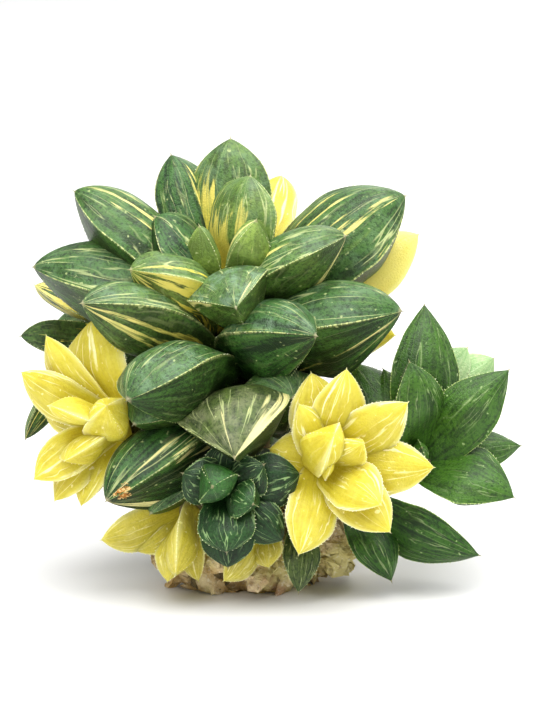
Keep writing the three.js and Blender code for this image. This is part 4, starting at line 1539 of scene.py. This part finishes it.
green_edges = [leaf for leaf, kind in made_leaves if kind == "green"]
yellow_edges = [leaf for leaf, kind in made_leaves if kind == "yellow"]
green_tooth = tooth_finish("tooth_on_green", "a9bc72", "dde0b8")
yellow_tooth = tooth_finish("tooth_on_yellow", "f3ecae", "fbf8d8")
green_teeth = add_teeth("teeth_on_green_leaves", green_edges, green_tooth, 5)
yellow_teeth = add_teeth("teeth_on_yellow_leaves", yellow_edges, yellow_tooth, 6)
print("teeth faces:", len(green_teeth.data.polygons), len(yellow_teeth.data.polygons))

# %% [markdown]
# ## Flakes on the stump
# What is left of the oldest leaves clings to the stump as small crumpled flakes, each a few
# millimetres across and lying any way it fell. Scattering is what Geometry Nodes do best: points
# on the stump's faces, a flattened ball on each, turned and sized by chance from a fixed seed,
# and a noise that pushes every corner so that no two flakes are alike.

# %% The tree that scatters flakes
def flakes_tree():
    sizes = {
        "Density": "NodeSocketFloat",
        "Flake size": "NodeSocketFloat",
        "Crumple": "NodeSocketFloat",
        "Seed": "NodeSocketInt",
        "Finish": "NodeSocketMaterial",
    }
    tree = Tree("papery_flakes", sizes)
    given = tree.inputs
    values = {"Mesh": given["Geometry"], "Density": given["Density"], "Seed": given["Seed"]}
    points = tree.node("GeometryNodeDistributePointsOnFaces", values=values)
    ball = tree.node("GeometryNodeMeshUVSphere", values={"Segments": 7, "Rings": 4, "Radius": 1.0})
    values = {"Vector": (1, 0.7, 0.2), "Scale": given["Flake size"]}
    shape = tree.node("ShaderNodeVectorMath", {"operation": "SCALE"}, values)
    flake = tree.node("GeometryNodeTransform", values={"Geometry": ball, "Scale": shape})
    values = {0: (-0.6, -0.6, 0), 1: (0.6, 0.6, math.tau), "Seed": given["Seed"]}
    tumble = tree.node("FunctionNodeRandomValue", {"data_type": "FLOAT_VECTOR"}, values, 0)
    values = {"Rotation": points.node.outputs["Rotation"], "Rotate By": tumble}
    turn = tree.node("FunctionNodeRotateRotation", {"rotation_space": "LOCAL"}, values)
    values = {2: 0.6, 3: 1.4, "Seed": given["Seed"]}
    luck = tree.node("FunctionNodeRandomValue", {"data_type": "FLOAT"}, values, 1)
    values = {"Points": points, "Instance": flake, "Rotation": turn, "Scale": luck}
    flakes = tree.node("GeometryNodeInstanceOnPoints", values=values)
    real = tree.node("GeometryNodeRealizeInstances", values={"Geometry": flakes})
    wave = tree.node("ShaderNodeTexNoise", values={"Scale": 300.0, "Detail": 1.0}, output="Color")
    values = {0: wave, 1: (0.5, 0.5, 0.5)}
    centred = tree.node("ShaderNodeVectorMath", {"operation": "SUBTRACT"}, values)
    values = {"Vector": centred, "Scale": given["Crumple"]}
    push = tree.node("ShaderNodeVectorMath", {"operation": "SCALE"}, values)
    values = {"Geometry": real, "Offset": push}
    crumpled = tree.node("GeometryNodeSetPosition", values=values)
    values = {"Geometry": crumpled, "Material": given["Finish"]}
    done = tree.node("GeometryNodeSetMaterial", values=values)
    tree.group.links.new(done, tree.end)
    return tree


scatter = flakes_tree()
print("the tree has", len(scatter.group.nodes), "nodes")

# %% Scatter the flakes
flakes = bpy.data.objects.new("flakes_on_stump", stump.data.copy())
bpy.context.collection.objects.link(flakes)
sizes = {"Density": 90000.0, "Flake size": 3 * MM, "Crumple": 3.6 * MM}
flakes = scatter.apply(flakes, Seed=12, Finish=withered_paper, **sizes)
for corner in flakes.data.vertices:
    corner.co.z = max(corner.co.z, 0)
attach(flakes, "root")
print("flake faces:", len(flakes.data.polygons))
